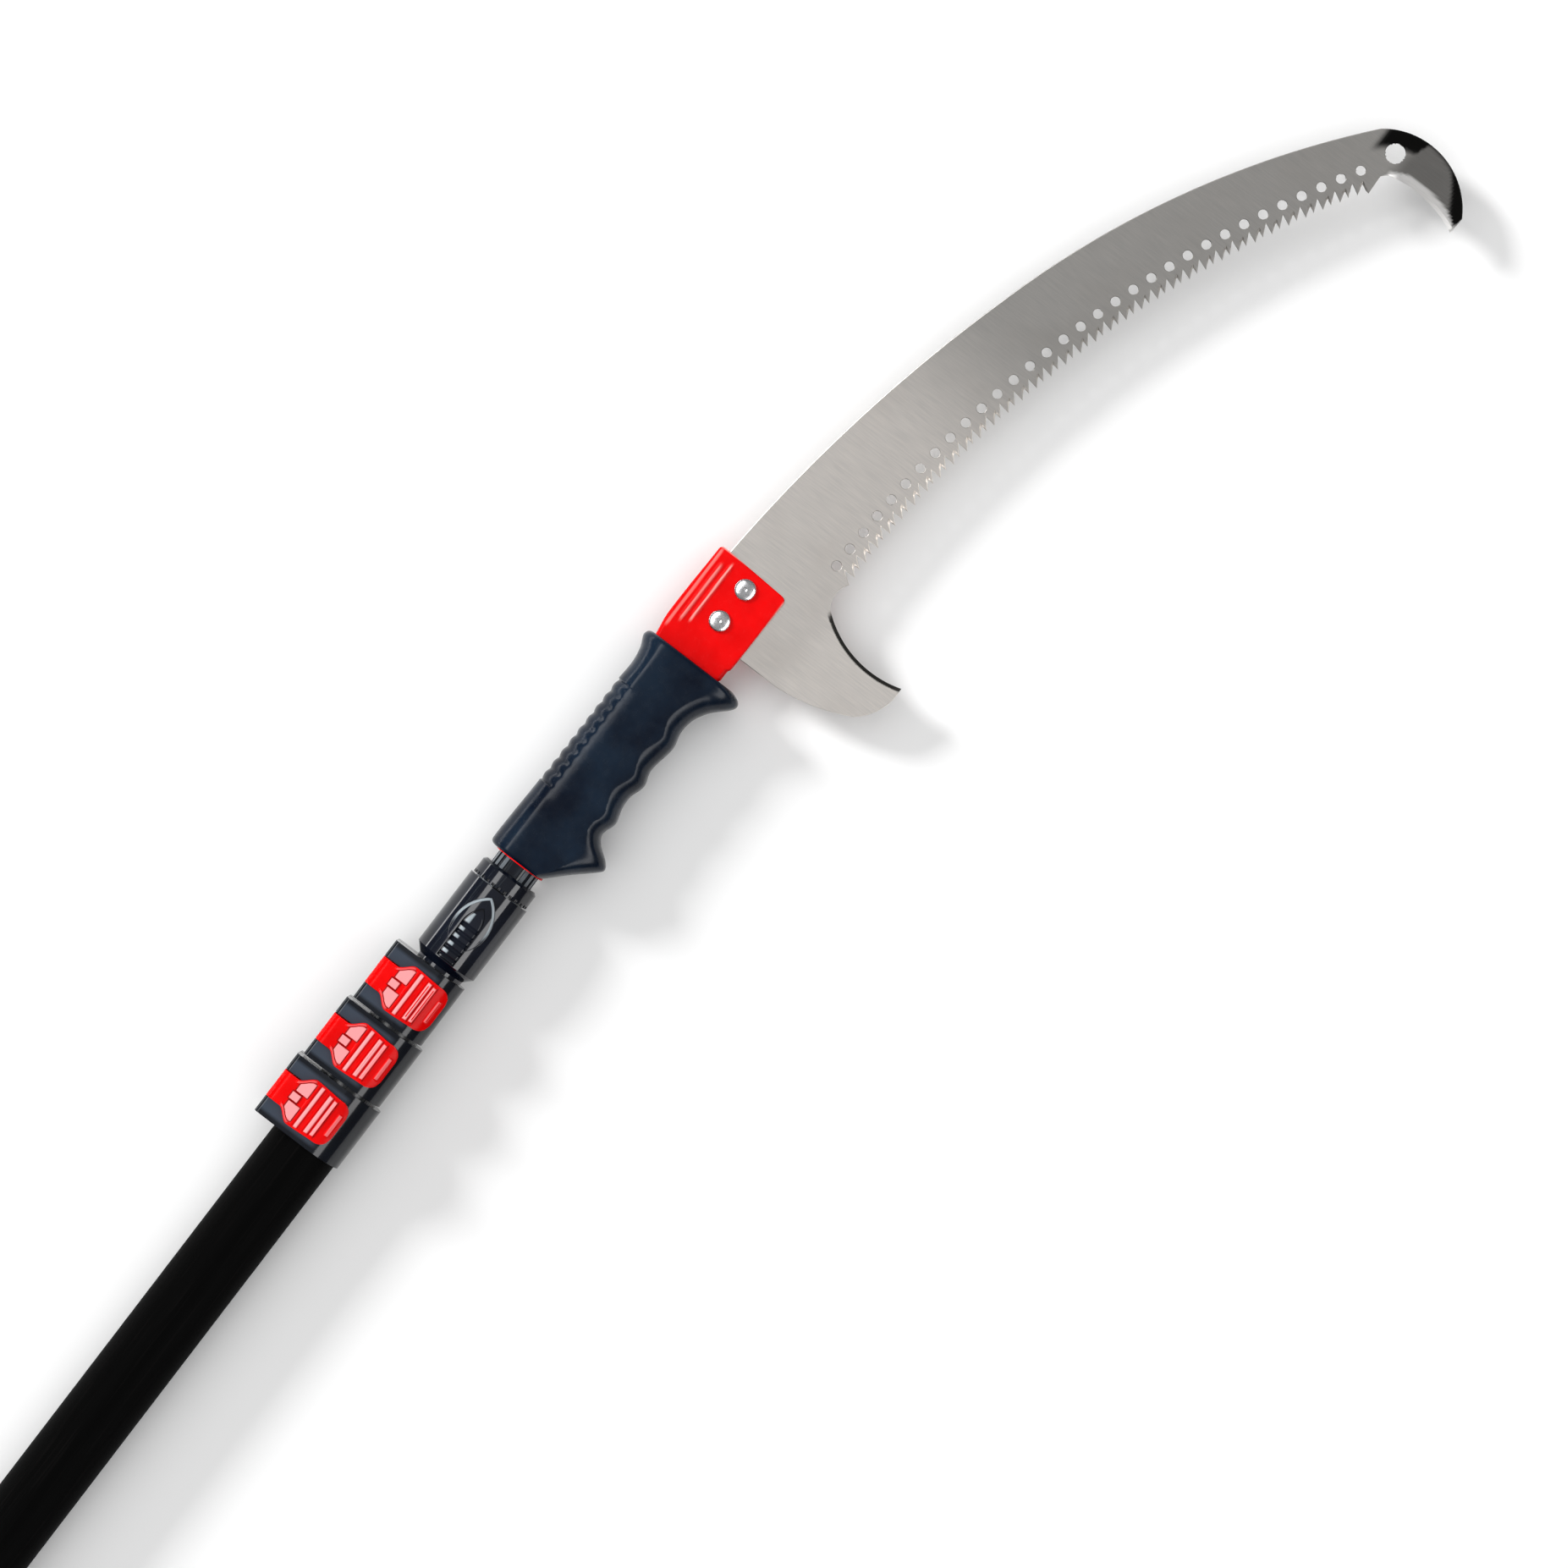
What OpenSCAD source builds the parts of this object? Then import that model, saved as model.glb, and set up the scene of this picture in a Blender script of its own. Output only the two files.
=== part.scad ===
// Telescoping pole saw, stored length.
// Millimetres. +X runs along the pole towards the blade, the blade lies flat in the XY plane and its
// teeth and hooks face -Y. The clamp ears are on +Y and the clamp levers face +Z. The origin is the
// middle of the butt end's flat face.

/* [Pole] */
// Length of the outermost tube
base_len = 1100; // [700:10:1400]
// Outside diameter of the outermost tube
base_od = 38; // [36:1:42]
// Step in outside diameter from each tube to the next one inside it
tube_step = 4; // [4:0.2:4.6]
// Wall thickness of every tube
wall = 1.3; // [1:0.1:1.4]
// Radial clearance of everything that slides or turns in a bore
running = 0.08; // [0.02:0.01:0.1]
// Length of the guide bush at the foot of each inner tube
bush_len = 60; // [40:5:80]
// Length that a guide bush reaches into its tube
bush_spigot = 20; // [12:1:30]
// Length of the cap over the butt end
cap_len = 38; // [30:1:60]

/* [Clamps] */
// Length of each clamp collar along the pole
collar_len = 37; // [34:1:44]
// Gap between neighbouring collars when the pole is stored
collar_gap = 1.7; // [1:0.1:4]
// Length of the collar that is fixed on its own tube
collar_seat = 20; // [16:1:22]
// Wall of the collar outside its own tube
collar_wall = 2; // [1.8:0.1:3]
// Reach of the clamp ears beyond the collar's own tube
ear_reach = 12.4; // [11.6:0.1:14]
// Thickness of the clamp lever's plate
lever_t = 4; // [3:0.5:5]
// Length of the clamp lever as seen from the front
lever_len = 41; // [36:1:44]
// Width of the lever's narrow cam end
lever_neck_w = 16.6; // [14:0.2:18]
// Greatest width of the lever's paddle
lever_w = 27.7; // [22:0.5:30]
// Radius of the cam that presses on the ear
cam_r = 4.8; // [4.5:0.1:5]
// Distance of the cam's centre below its pin
cam_offset = 0.7; // [0.3:0.1:0.8]

/* [Coupler] */
// Outside diameter of the coupler sleeve
sleeve_od = 36.2; // [34:0.2:38]
// Outside diameter of the ring in front of the sleeve
ring_od = 34; // [32:0.5:36]
// Number of scallops around the ring's rim
scallops = 28; // [16:1:36]
// Number of ribs around the neck
neck_ribs = 18; // [12:1:24]
// Travel of the release button
button_travel = 2; // [1.5:0.1:2.2]

/* [Saw head] */
// Outside diameter of the head tube inside the grip
head_od = 29; // [28:0.5:30]
// Wall thickness of the head tube
head_wall = 1.5; // [1.2:0.1:1.6]
// Thickness of the blade
blade_t = 1.6; // [1.2:0.1:2]
// Number of pairs of teeth, each a large one and a small one
tooth_pairs = 35; // [20:1:50]
// Number of clearing holes behind the teeth
clearing_holes = 32; // [10:1:40]
// Diameter of each clearing hole
clearing_d = 5.3; // [3:0.1:6]
// Diameter of the hanging hole at the blade's tip
hang_d = 10.8; // [6:0.2:12]
// Diameter of the rivet heads that hold the blade
rivet_d = 11.8; // [9:0.2:13]

/* [Hidden] */
$fn = 64;
eps = 0.01;

black = [0.05, 0.05, 0.06];
glossy_black = [0.09, 0.1, 0.12];
red = [0.85, 0.03, 0.03];
steel = [0.7, 0.68, 0.65];
zinc = [0.82, 0.83, 0.85];
bush_white = [0.85, 0.85, 0.82];

// Tubes, numbered from the outermost, 0, to the innermost, 3
cap_floor = 3;
cap_wall = 1.5;
bush_gap = 2;
first_bush_x = 8;
tube_top = cap_floor + base_len;
collar_pitch = collar_len + collar_gap;
function tube_r(i) = (base_od - i * tube_step) / 2;
function tube_bore(i) = tube_r(i) - wall;
function collar_x(i) = tube_top - collar_seat + i * collar_pitch;
function shoulder_x(i) = collar_x(i) + collar_seat;
function bush_x(i) = first_bush_x + (i - 1) * (bush_len + bush_spigot + bush_gap);
function bush_top(i) = bush_x(i) + bush_len;
bush_wall = 2.5;
bush_grooves = 4;
groove_w = 2;
groove_depth = 0.8;

// Clamps, numbered by the tube that each one is fixed on
slit = 1.5;
ear_step = 0.45;
ear_bottom = -12;
ear_corner = 2.5;
ear_bevel = 2;
plate_gap = 0.3;
cam_gap = 0.3;
side_gap = 0.4;
notch_relief = 3;
pin_r = 3;
pin_gap = 0.05;
pin_inset = 0.2;
bolt_short = 0.6;
bolt_r = 2;
bolt_gap = 0.3;
bolt_head_r = 3.5;
bolt_head_h = 4;
pocket_gap = 0.6;
slot_gap = 0.3;
heel_gap = 0.2;
bar_r = 0.8;
bars = [[28.1, 20], [31.5, 19], [37.9, 12]];
shoulder_start = 9;
shoulder_end = 17.5;
paddle_narrowing = 0.9;
paddle_end = 6.5;
end_r = cam_r + 0.3;
function ring_r(i) = tube_r(i) + collar_wall;
function ear_y(i) = tube_r(i) + ear_reach - ear_step * i;
function clamp_x(i) = collar_x(i) + collar_len / 2;
function pin_y(i) = ear_y(i) - end_r;
function pin_z(i) = ring_r(i) + plate_gap - cam_r;
function notch_floor(i) = pin_z(i) - cam_offset - cam_r - cam_gap;
rivet_r = 1.5;
rivet_head_r = 3;
rivet_sink = 1.2;
rivet_proud = 0.3;

// Coupler: the stations along the pole count from the upper collar's top face
coupler_x = collar_x(2) + collar_len;
sleeve_x = coupler_x + 2;
core_x = coupler_x + 10.6;
ring_x = coupler_x + 52.6;
ring_len = 9.8;
sleeve_len = ring_x - sleeve_x - 0.6;
neck_end_x = ring_x + ring_len + 8.5;
plug_end_x = neck_end_x + 72;
core_r = 14.7;
neck_root_r = 11.9;
neck_r = 12.6;
spigot_len = 40;
sleeve_chamfer = 4.5;
skirt_r = tube_r(3) + 0.8;
button_x = coupler_x + 7.4;
button_len = 33;
button_w = 10.4;
button_gap = 0.3;
arm_w = 7;
arm_low = 8.4;
arm_high = 11.6;
arm_end_x = neck_end_x + 16;
tooth_len = 6;
button_floor = arm_low - button_travel - 0.4;
spring_x = button_x + 17;
spring_r = 2.8;
spring_wire = 0.7;
spring_floor = -2;
spring_turns = 5;
coupler_pin_x = core_x - 4.5;
spigot_floor = 6;
plug_bore_x = arm_end_x + 6;
plug_wall = 3;
neck_rib_w = 2.2;

// Saw head
head_x = neck_end_x - 1.5;
head_bore = head_od / 2 - head_wall;
plug_r = head_bore - running;
grip_x = head_x + 0.6;
grip_end_x = grip_x + 138.2;
flat_x = grip_end_x + 1;
round_end_x = flat_x - 16;
flat_half = blade_t / 2 + head_wall;
blade_x = flat_x + 57;
flat_low = -25.2;
flat_high = 16.7;
open_x = flat_x + 7;
taper_step = 0.3;

// Points of an arc from a to c through b, in n steps, without a itself
function arc3(a, b, c, n) =
  let (
    d = 2 * (a.x * (b.y - c.y) + b.x * (c.y - a.y) + c.x * (a.y - b.y)),
    ux = ((a * a) * (b.y - c.y) + (b * b) * (c.y - a.y) + (c * c) * (a.y - b.y)) / d,
    uy = ((a * a) * (c.x - b.x) + (b * b) * (a.x - c.x) + (c * c) * (b.x - a.x)) / d,
    r = norm(a - [ux, uy]),
    start = atan2(a.y - uy, a.x - ux),
    turn = atan2(c.y - uy, c.x - ux) - start,
    cross = (b.x - a.x) * (c.y - b.y) - (b.y - a.y) * (c.x - b.x),
    sweep = cross > 0 ? (turn + 720) % 360 : (turn - 720) % 360
  )
  [for (k = [1:n]) [ux + r * cos(start + sweep * k / n), uy + r * sin(start + sweep * k / n)]];

// Smooth step from 0 to 1 as t goes from a to b
function ease(t, a, b) =
  let (s = max(0, min(1, (t - a) / (b - a))))
  s * s * (3 - 2 * s);

// Value at x of a smooth curve through the knots [x, value], sorted by x
function through(knots, x) =
  let (
    n = len(knots),
    k = max([for (j = [0:n - 2]) if (j == 0 || knots[j].x <= x) j]),
    p1 = knots[k],
    p2 = knots[k + 1],
    p0 = knots[max(0, k - 1)],
    p3 = knots[min(n - 1, k + 2)],
    h = p2.x - p1.x,
    m1 = (p2.y - p0.y) / (p2.x - p0.x) * h,
    m2 = (p3.y - p1.y) / (p3.x - p1.x) * h,
    t = (x - p1.x) / h
  )
  (2 * t ^ 3 - 3 * t ^ 2 + 1) * p1.y + (t ^ 3 - 2 * t ^ 2 + t) * m1
  + (3 * t ^ 2 - 2 * t ^ 3) * p2.y + (t ^ 3 - t ^ 2) * m2;

// Cylinder along +X from x
module rod(x, length, r) {
  translate([x, 0, 0]) rotate([0, 90, 0]) cylinder(h = length, r = r);
}

// Cone along +X from x
module taper(x, length, r1, r2) {
  translate([x, 0, 0]) rotate([0, 90, 0]) cylinder(h = length, r1 = r1, r2 = r2);
}

// Hollow cylinder along +X from x
module pipe(x, length, r, bore) {
  difference() {
    rod(x, length, r);
    rod(x - 1, length + 2, bore);
  }
}

// Flat shape drawn in Y and Z, extruded along +X from x
module along_x(x, length) {
  translate([x, 0, 0]) rotate([90, 0, 90]) linear_extrude(length) children();
}

// ---- Pole ----

module butt_cap() {
  chamfer = 3;
  r = tube_r(0) + cap_wall;
  color(black) difference() {
    union() {
      taper(0, chamfer, r - chamfer, r);
      rod(chamfer, cap_len - chamfer, r);
    }
    rod(cap_floor, cap_len, tube_r(0));
  }
}

// Hole through a tube's wall for the rivet of the collar on it
module rivet_hole(i) {
  translate([collar_x(i) + collar_seat / 2, 0, -tube_r(i) - 1]) cylinder(h = 4, r = rivet_r);
}

module base_tube() {
  color(black) difference() {
    pipe(cap_floor, base_len, tube_r(0), tube_bore(0));
    rivet_hole(0);
  }
}

module inner_tube(i, top) {
  color(glossy_black) difference() {
    pipe(bush_top(i), top - bush_top(i), tube_r(i), tube_bore(i));
    if (i < 3) rivet_hole(i);
    if (i == 3) coupler_pin_hole();
  }
}

module tube_2() { inner_tube(1, shoulder_x(1)); }
module tube_3() { inner_tube(2, shoulder_x(2)); }
module tube_4() { inner_tube(3, core_x); }

// Bush that guides an inner tube's foot in the next tube out, and stops against that tube's collar
module guide_bush(i) {
  color(bush_white) difference() {
    union() {
      rod(bush_x(i), bush_len, tube_bore(i - 1) - running);
      rod(bush_top(i), bush_spigot, tube_bore(i));
    }
    rod(bush_x(i) - 1, bush_len + bush_spigot + 2, tube_bore(i) - bush_wall);
    for (k = [1:bush_grooves])
      pipe(bush_x(i) + bush_len * k / (bush_grooves + 1) - groove_w / 2, groove_w, tube_bore(i - 1) + 1,
        tube_bore(i - 1) - running - groove_depth);
  }
}

module guide_bush_2() { guide_bush(1); }
module guide_bush_3() { guide_bush(2); }
module guide_bush_4() { guide_bush(3); }

// ---- Clamps ----

// Outline of a collar in Y and Z: a ring with a flat front that runs out to the ears
module collar_outline(i) {
  r = ring_r(i);
  e = ear_y(i);
  meet_y = sqrt(r ^ 2 - ear_bottom ^ 2);
  c = ear_corner;
  polygon(concat(
    [[e - c, r]],
    arc3([e - c, r], [e - c * (1 - sqrt(0.5)), r - c * (1 - sqrt(0.5))], [e, r - c], 6),
    [[e, ear_bottom + ear_bevel], [e - ear_bevel, ear_bottom], [meet_y, ear_bottom]],
    arc3([meet_y, ear_bottom], [-r, 0], [0, r], 56)
  ));
}

module collar(i) {
  x = collar_x(i);
  e = ear_y(i);
  floor_z = notch_floor(i);
  notch_y = pin_y(i) - cam_r - cam_offset - cam_gap;
  notch_w = lever_neck_w + 2 * side_gap;
  color(glossy_black) difference() {
    along_x(x, collar_len) collar_outline(i);
    rod(x - 1, collar_seat + 1, tube_r(i));
    rod(x, collar_len + 1, tube_r(i + 1) + running);
    translate([x - 1, tube_r(i + 1) / 2, -slit / 2]) cube([collar_len + 2, e, slit]);
    along_x(clamp_x(i) - notch_w / 2, notch_w) polygon([
      [notch_y, ring_r(i) + 1], [notch_y, floor_z], [pin_y(i), floor_z],
      [pin_y(i) + notch_relief, floor_z - notch_relief], [e + 1, floor_z - notch_relief],
      [e + 1, ring_r(i) + 1]
    ]);
    translate([clamp_x(i), pin_y(i), ear_bottom - 1]) {
      cylinder(h = 2 * ring_r(i), r = bolt_r + bolt_gap);
      cylinder(h = 1 + bolt_head_h, r = bolt_head_r + pocket_gap);
    }
    translate([x + collar_seat / 2, 0, -ring_r(i) - 1]) {
      cylinder(h = 1 + rivet_sink, r = rivet_head_r);
      cylinder(h = 2 + 2 * collar_wall, r = rivet_r);
    }
  }
}

module lower_collar() { collar(0); }
module middle_collar() { collar(1); }
module upper_collar() { collar(2); }

// Half of the lever's width at the distance t from its cam end
function lever_half_w(t) =
  let (
    flare = lever_neck_w / 2 + (lever_w - lever_neck_w) / 2 * ease(t, shoulder_start, shoulder_end),
    half = flare - paddle_narrowing * ease(t, shoulder_end, lever_len - paddle_end),
    left = max(0, (lever_len - t) / paddle_end)
  )
  left >= 1 ? half : half - paddle_end * (1 - sqrt(1 - (1 - left) ^ 2));

// Side of the lever in Y and Z: a plate that lies along the collar's front and wraps round its ring
module lever_side(i) {
  inner = ring_r(i) + plate_gap;
  outer = inner + lever_t;
  difference() {
    union() {
      intersection() {
        circle(outer);
        translate([-outer, 0]) square([outer, outer]);
      }
      translate([0, inner]) square([pin_y(i), lever_t]);
      translate([pin_y(i) - cam_r, pin_z(i) - cam_offset]) square([cam_r, cam_r + 1.5]);
      translate([pin_y(i), pin_z(i)]) square([end_r, outer - end_r - pin_z(i)]);
      translate([pin_y(i), outer - end_r]) circle(end_r);
      translate([pin_y(i), pin_z(i) - cam_offset]) circle(cam_r);
    }
    circle(inner);
  }
}

// Front of the lever in X and Y
module lever_front(i) {
  steps = 52;
  side = [for (k = [0:steps]) let (t = lever_len * k / steps) [lever_half_w(t), ear_y(i) - t]];
  polygon(concat(side, [for (k = [steps:-1:0]) [-side[k].x, side[k].y]]));
}

// Raised bar across the lever at the distance t from its cam end
module lever_bar(i, t, length) {
  y = ear_y(i) - t;
  outer = ring_r(i) + plate_gap + lever_t;
  z = y > 0 ? outer : sqrt(outer ^ 2 - y ^ 2);
  translate([clamp_x(i) - length / 2, y, z]) rotate([0, 90, 0]) cylinder(h = length, r = bar_r);
}

module lever(i) {
  slot_w = 2 * (bolt_r + slot_gap);
  color(red) difference() {
    union() {
      intersection() {
        along_x(clamp_x(i) - lever_w, 2 * lever_w) lever_side(i);
        translate([clamp_x(i), 0, 0]) linear_extrude(2 * base_od) lever_front(i);
      }
      for (bar = bars) lever_bar(i, bar.x, bar.y);
    }
    translate([clamp_x(i) - lever_w, pin_y(i), pin_z(i)])
      rotate([0, 90, 0]) cylinder(h = 2 * lever_w, r = pin_r + pin_gap);
    translate([clamp_x(i) - slot_w / 2, pin_y(i) - slot_w / 2, pin_z(i) - 2 * cam_r])
      cube([slot_w, slot_w + cam_r, 3 * cam_r - heel_gap]);
  }
}

module lower_lever() { lever(0); }
module middle_lever() { lever(1); }
module upper_lever() { lever(2); }

// Barrel that the lever turns on, drilled across for the clamp bolt
module lever_pin(i) {
  color(zinc) difference() {
    translate([clamp_x(i) - lever_neck_w / 2 + pin_inset, pin_y(i), pin_z(i)])
      rotate([0, 90, 0]) cylinder(h = lever_neck_w - 2 * pin_inset, r = pin_r);
    translate([clamp_x(i), pin_y(i), pin_z(i) - 2 * pin_r]) cylinder(h = 4 * pin_r, r = bolt_r);
  }
}

module lower_lever_pin() { lever_pin(0); }
module middle_lever_pin() { lever_pin(1); }
module upper_lever_pin() { lever_pin(2); }

module clamp_bolt(i) {
  key = 1.5;
  color(zinc) translate([clamp_x(i), pin_y(i), ear_bottom]) difference() {
    union() {
      cylinder(h = bolt_head_h, r = bolt_head_r);
      cylinder(h = pin_z(i) + pin_r - bolt_short - ear_bottom, r = bolt_r);
    }
    translate([0, 0, -1]) cylinder(h = 1 + bolt_head_h / 2, r = key, $fn = 6);
  }
}

module lower_clamp_bolt() { clamp_bolt(0); }
module middle_clamp_bolt() { clamp_bolt(1); }
module upper_clamp_bolt() { clamp_bolt(2); }

// Flush rivet that fixes a collar on its own tube
module collar_rivet(i) {
  head_z = -ring_r(i) + rivet_sink;
  color(zinc) translate([collar_x(i) + collar_seat / 2, 0, 0]) {
    translate([0, 0, -ring_r(i) + rivet_proud])
      cylinder(h = rivet_sink - rivet_proud, r = rivet_head_r);
    translate([0, 0, head_z]) cylinder(h = -tube_bore(i) - head_z, r = rivet_r);
  }
}

module lower_collar_rivet() { collar_rivet(0); }
module middle_collar_rivet() { collar_rivet(1); }
module upper_collar_rivet() { collar_rivet(2); }

// ---- Coupler ----

module coupler_pin_hole() {
  translate([coupler_pin_x, -sleeve_od / 2, 0]) rotate([-90, 0, 0]) cylinder(h = sleeve_od, r = rivet_r);
}

// Pin across the innermost tube and the core's spigot, hidden under the sleeve
module coupler_pin() {
  length = 2 * tube_r(3) - 0.6;
  color(zinc) translate([coupler_pin_x, -length / 2, 0])
    rotate([-90, 0, 0]) cylinder(h = length, r = rivet_r);
}

// Nylon core: a spigot in the innermost tube, a body under the sleeve, a ribbed neck and a long plug
module tip_core() {
  plug_chamfer = 2;
  color(black) difference() {
    union() {
      rod(core_x - spigot_len, spigot_len, tube_bore(3));
      rod(core_x, ring_x - core_x, core_r);
      rod(ring_x, neck_end_x - ring_x, neck_root_r);
      for (k = [0:neck_ribs - 1])
        rotate([360 / neck_ribs * (k + 0.5), 0, 0])
          translate([ring_x + ring_len, -neck_rib_w / 2, 0])
            cube([neck_end_x - ring_x - ring_len - 1, neck_rib_w, neck_r]);
      rod(ring_x, ring_len, neck_r);
      rod(neck_end_x - 1, plug_end_x - neck_end_x - plug_chamfer + 1, plug_r);
      taper(plug_end_x - plug_chamfer, plug_chamfer, plug_r, plug_r - plug_chamfer);
    }
    rod(core_x - spigot_len - 1, spigot_len - spigot_floor, tube_bore(3) - bush_wall);
    rod(plug_bore_x, plug_end_x - arm_end_x, plug_r - plug_wall);
    translate([button_x - button_gap - 1, -button_w / 2 - button_gap, button_floor])
      cube([button_len + 2 * button_gap + 1, button_w + 2 * button_gap, core_r]);
    translate([button_x, -arm_w / 2 - button_gap, button_floor])
      cube([arm_end_x - button_x + 1, arm_w + 2 * button_gap, core_r]);
    translate([spring_x, 0, spring_floor]) cylinder(h = core_r, r = spring_r + spring_wire);
    coupler_pin_hole();
  }
}

// Leaf-shaped window for the thumb button, drawn in X and Y
module button_window(gap) {
  leaf_len = 14;
  half = button_w / 2 + gap;
  x0 = button_x - gap;
  x1 = button_x + button_len + gap;
  belly = [x1 - leaf_len * 0.36, half * 0.72];
  polygon(concat(
    [[x0, -half], [x1 - leaf_len, -half]],
    arc3([x1 - leaf_len, -half], [belly.x, -belly.y], [x1, 0], 8),
    arc3([x1, 0], belly, [x1 - leaf_len, half], 8),
    [[x0, half]]
  ));
}

// Outline of the raised hood round the front of the window, drawn in X and Y
module hood_front() {
  back = [button_x + 9, button_w / 2];
  side = [button_x + 25, 9];
  apex = [button_x + 39.3, 0];
  polygon(concat(
    [[back.x, -back.y]],
    arc3([back.x, -back.y], [side.x, -side.y], apex, 16),
    arc3(apex, side, back, 16)
  ));
}

module coupler_sleeve() {
  r = sleeve_od / 2;
  hood_h = 0.9;
  color(glossy_black) difference() {
    union() {
      rod(coupler_x + 0.3, sleeve_x - coupler_x, skirt_r);
      taper(sleeve_x, sleeve_chamfer, r - sleeve_chamfer, r);
      rod(sleeve_x + sleeve_chamfer, sleeve_len - sleeve_chamfer, r);
      intersection() {
        rod(button_x, button_len + 10, r + hood_h);
        translate([0, 0, arm_high]) linear_extrude(r) hood_front();
      }
    }
    rod(coupler_x, ring_x - coupler_x, tube_r(3));
    rod(core_x, ring_x - core_x, core_r);
    translate([0, 0, arm_high]) linear_extrude(r) button_window(button_gap);
  }
}

// Thumb button with crosswise ribs and a smooth front; its arm carries the tooth that locks the head tube
module release_button() {
  pad_r = sleeve_od / 2 - 1.2;
  ribs = 4;
  rib_start = button_x + 2.8;
  rib_pitch = 4.8;
  rib_w = 2.2;
  rib_h = 0.9;
  tooth_w = 6;
  tooth_top = head_od / 2 - 0.3;
  over_tube = tube_r(3) + button_travel + button_gap;
  color(glossy_black) union() {
    difference() {
      intersection() {
        translate([0, 0, arm_low]) linear_extrude(sleeve_od) button_window(0);
        union() {
          rod(button_x - 1, button_len + 2, pad_r);
          for (k = [0:ribs - 1]) rod(rib_start + k * rib_pitch, rib_w, pad_r + rib_h);
          rod(rib_start + ribs * rib_pitch, button_len, pad_r + rib_h);
        }
      }
      translate([button_x - 1, -button_w, 0])
        cube([core_x + button_gap + 1 - button_x, 2 * button_w, over_tube]);
    }
    translate([button_x + button_len / 2, -arm_w / 2, arm_low])
      cube([arm_end_x - button_x - button_len / 2, arm_w, arm_high - arm_low]);
    intersection() {
      translate([arm_end_x - tooth_len, -tooth_w / 2, arm_low])
        cube([tooth_len, tooth_w, sleeve_od]);
      rod(arm_end_x - tooth_len - 1, tooth_len + 2, tooth_top);
    }
  }
}

// Coil spring under the thumb button
module button_spring() {
  height = arm_low - spring_floor;
  ring_r = spring_r - spring_wire / 2;
  color(zinc) translate([spring_x, 0, spring_floor]) {
    difference() {
      cylinder(h = spring_wire, r = spring_r);
      translate([0, 0, -1]) cylinder(h = 3, r = spring_r - spring_wire);
    }
    linear_extrude(height, twist = -360 * spring_turns, slices = 20 * spring_turns, $fn = 8)
      translate([ring_r, 0]) circle(spring_wire / 2);
    translate([0, 0, height - spring_wire]) difference() {
      cylinder(h = spring_wire, r = spring_r);
      translate([0, 0, -1]) cylinder(h = 3, r = spring_r - spring_wire);
    }
  }
}

// Ring that is screwed on the core in front of the sleeve
module nose_ring() {
  r = ring_od / 2;
  rim = 1.6;
  chamfer = 1.5;
  scallop_r = 1.25;
  color(glossy_black) difference() {
    union() {
      rod(ring_x, ring_len - chamfer, r);
      taper(ring_x + ring_len - chamfer, chamfer, r, r - chamfer);
    }
    rod(ring_x - 1, ring_len + 2, neck_r);
    for (k = [0:scallops - 1])
      rotate([360 / scallops * k, 0, 0]) translate([ring_x, 0, r]) rotate([90, 0, 90])
        translate([0, 0, -eps]) cylinder(h = rim, r = scallop_r, $fn = 16);
  }
}

// ---- Saw head ----

// Edges of the grip as seen from the front: distance along the grip, and Y
grip_back = [
  [0, 18.3], [2, 19.4], [20, 19.2], [41, 18.6], [108, 17.9], [119, 17.4],
  [128, 18.8], [134, 21.4], [136.6, 20.9], [138.2, 19.4]
];
grip_front = [
  [0, -13.4], [2, -15.6], [12, -25.6], [22, -36.4], [24.5, -37.3], [28, -34.6], [33, -28],
  [38, -25], [46.5, -27.2], [55, -25.1], [62, -24.8], [71, -27.2], [80, -25], [96, -27.2],
  [106, -25.3], [115, -26.9], [123, -31.8], [129.5, -38.4], [133, -40.5], [136, -39.2], [138.2, -34.5]
];
grip_thick = [
  [0, 15.6], [2.5, 16.6], [60, 16.6], [110, 16.8], [128, 17.6], [133, 18.4], [136, 18.2], [138.2, 17]
];
grip_ribs = 9;
grip_rib_start = 42;
grip_rib_pitch = 7.3;
grip_rib_depth = 1;

function grip_rib(t) =
  let (k = (t - grip_rib_start) / grip_rib_pitch)
  k < 0 || k > grip_ribs ? 0 : grip_rib_depth * abs(sin(180 * k)) - grip_rib_depth;

// Outline of the grip's section at the distance t along it
function grip_ring(t, sides) =
  let (
    back = through(grip_back, t) + grip_rib(t),
    front = through(grip_front, t),
    half_z = through(grip_thick, t),
    middle = (back + front) / 2,
    half_y = (back - front) / 2,
    power = 2 / 3.4
  )
  [for (k = [0:sides - 1])
    let (a = 360 * (k + 0.5) / sides)
    [
      grip_x + t,
      middle + half_y * sign(cos(a)) * abs(cos(a)) ^ power,
      half_z * sign(sin(a)) * abs(sin(a)) ^ power
    ]];

module grip_body() {
  sides = 20;
  length = grip_end_x - grip_x;
  stations = concat(
    [0, 0.8, 2, 5, 12, 18, 22, 24.5, 28, 33, 38],
    [for (k = [0:3 * grip_ribs]) grip_rib_start + grip_rib_pitch * k / 3],
    [112, 118, 123, 128, 131, 133, 135, 137, length]
  );
  n = len(stations);
  points = [for (t = stations) each grip_ring(t, sides)];
  walls = [for (j = [0:n - 2]) for (k = [0:sides - 1])
    let (a = j * sides + k, b = j * sides + (k + 1) % sides)
    each [[a, b + sides, b], [a, a + sides, b + sides]]];
  polyhedron(points, concat(
    [[for (k = [0:sides - 1]) k]], walls, [[for (k = [sides - 1:-1:0]) (n - 1) * sides + k]]
  ), convexity = 6);
}

module grip() {
  color(black) difference() {
    grip_body();
    rod(grip_x - 1, round_end_x - grip_x + 1, head_od / 2);
    head_taper(0);
  }
}

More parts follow.
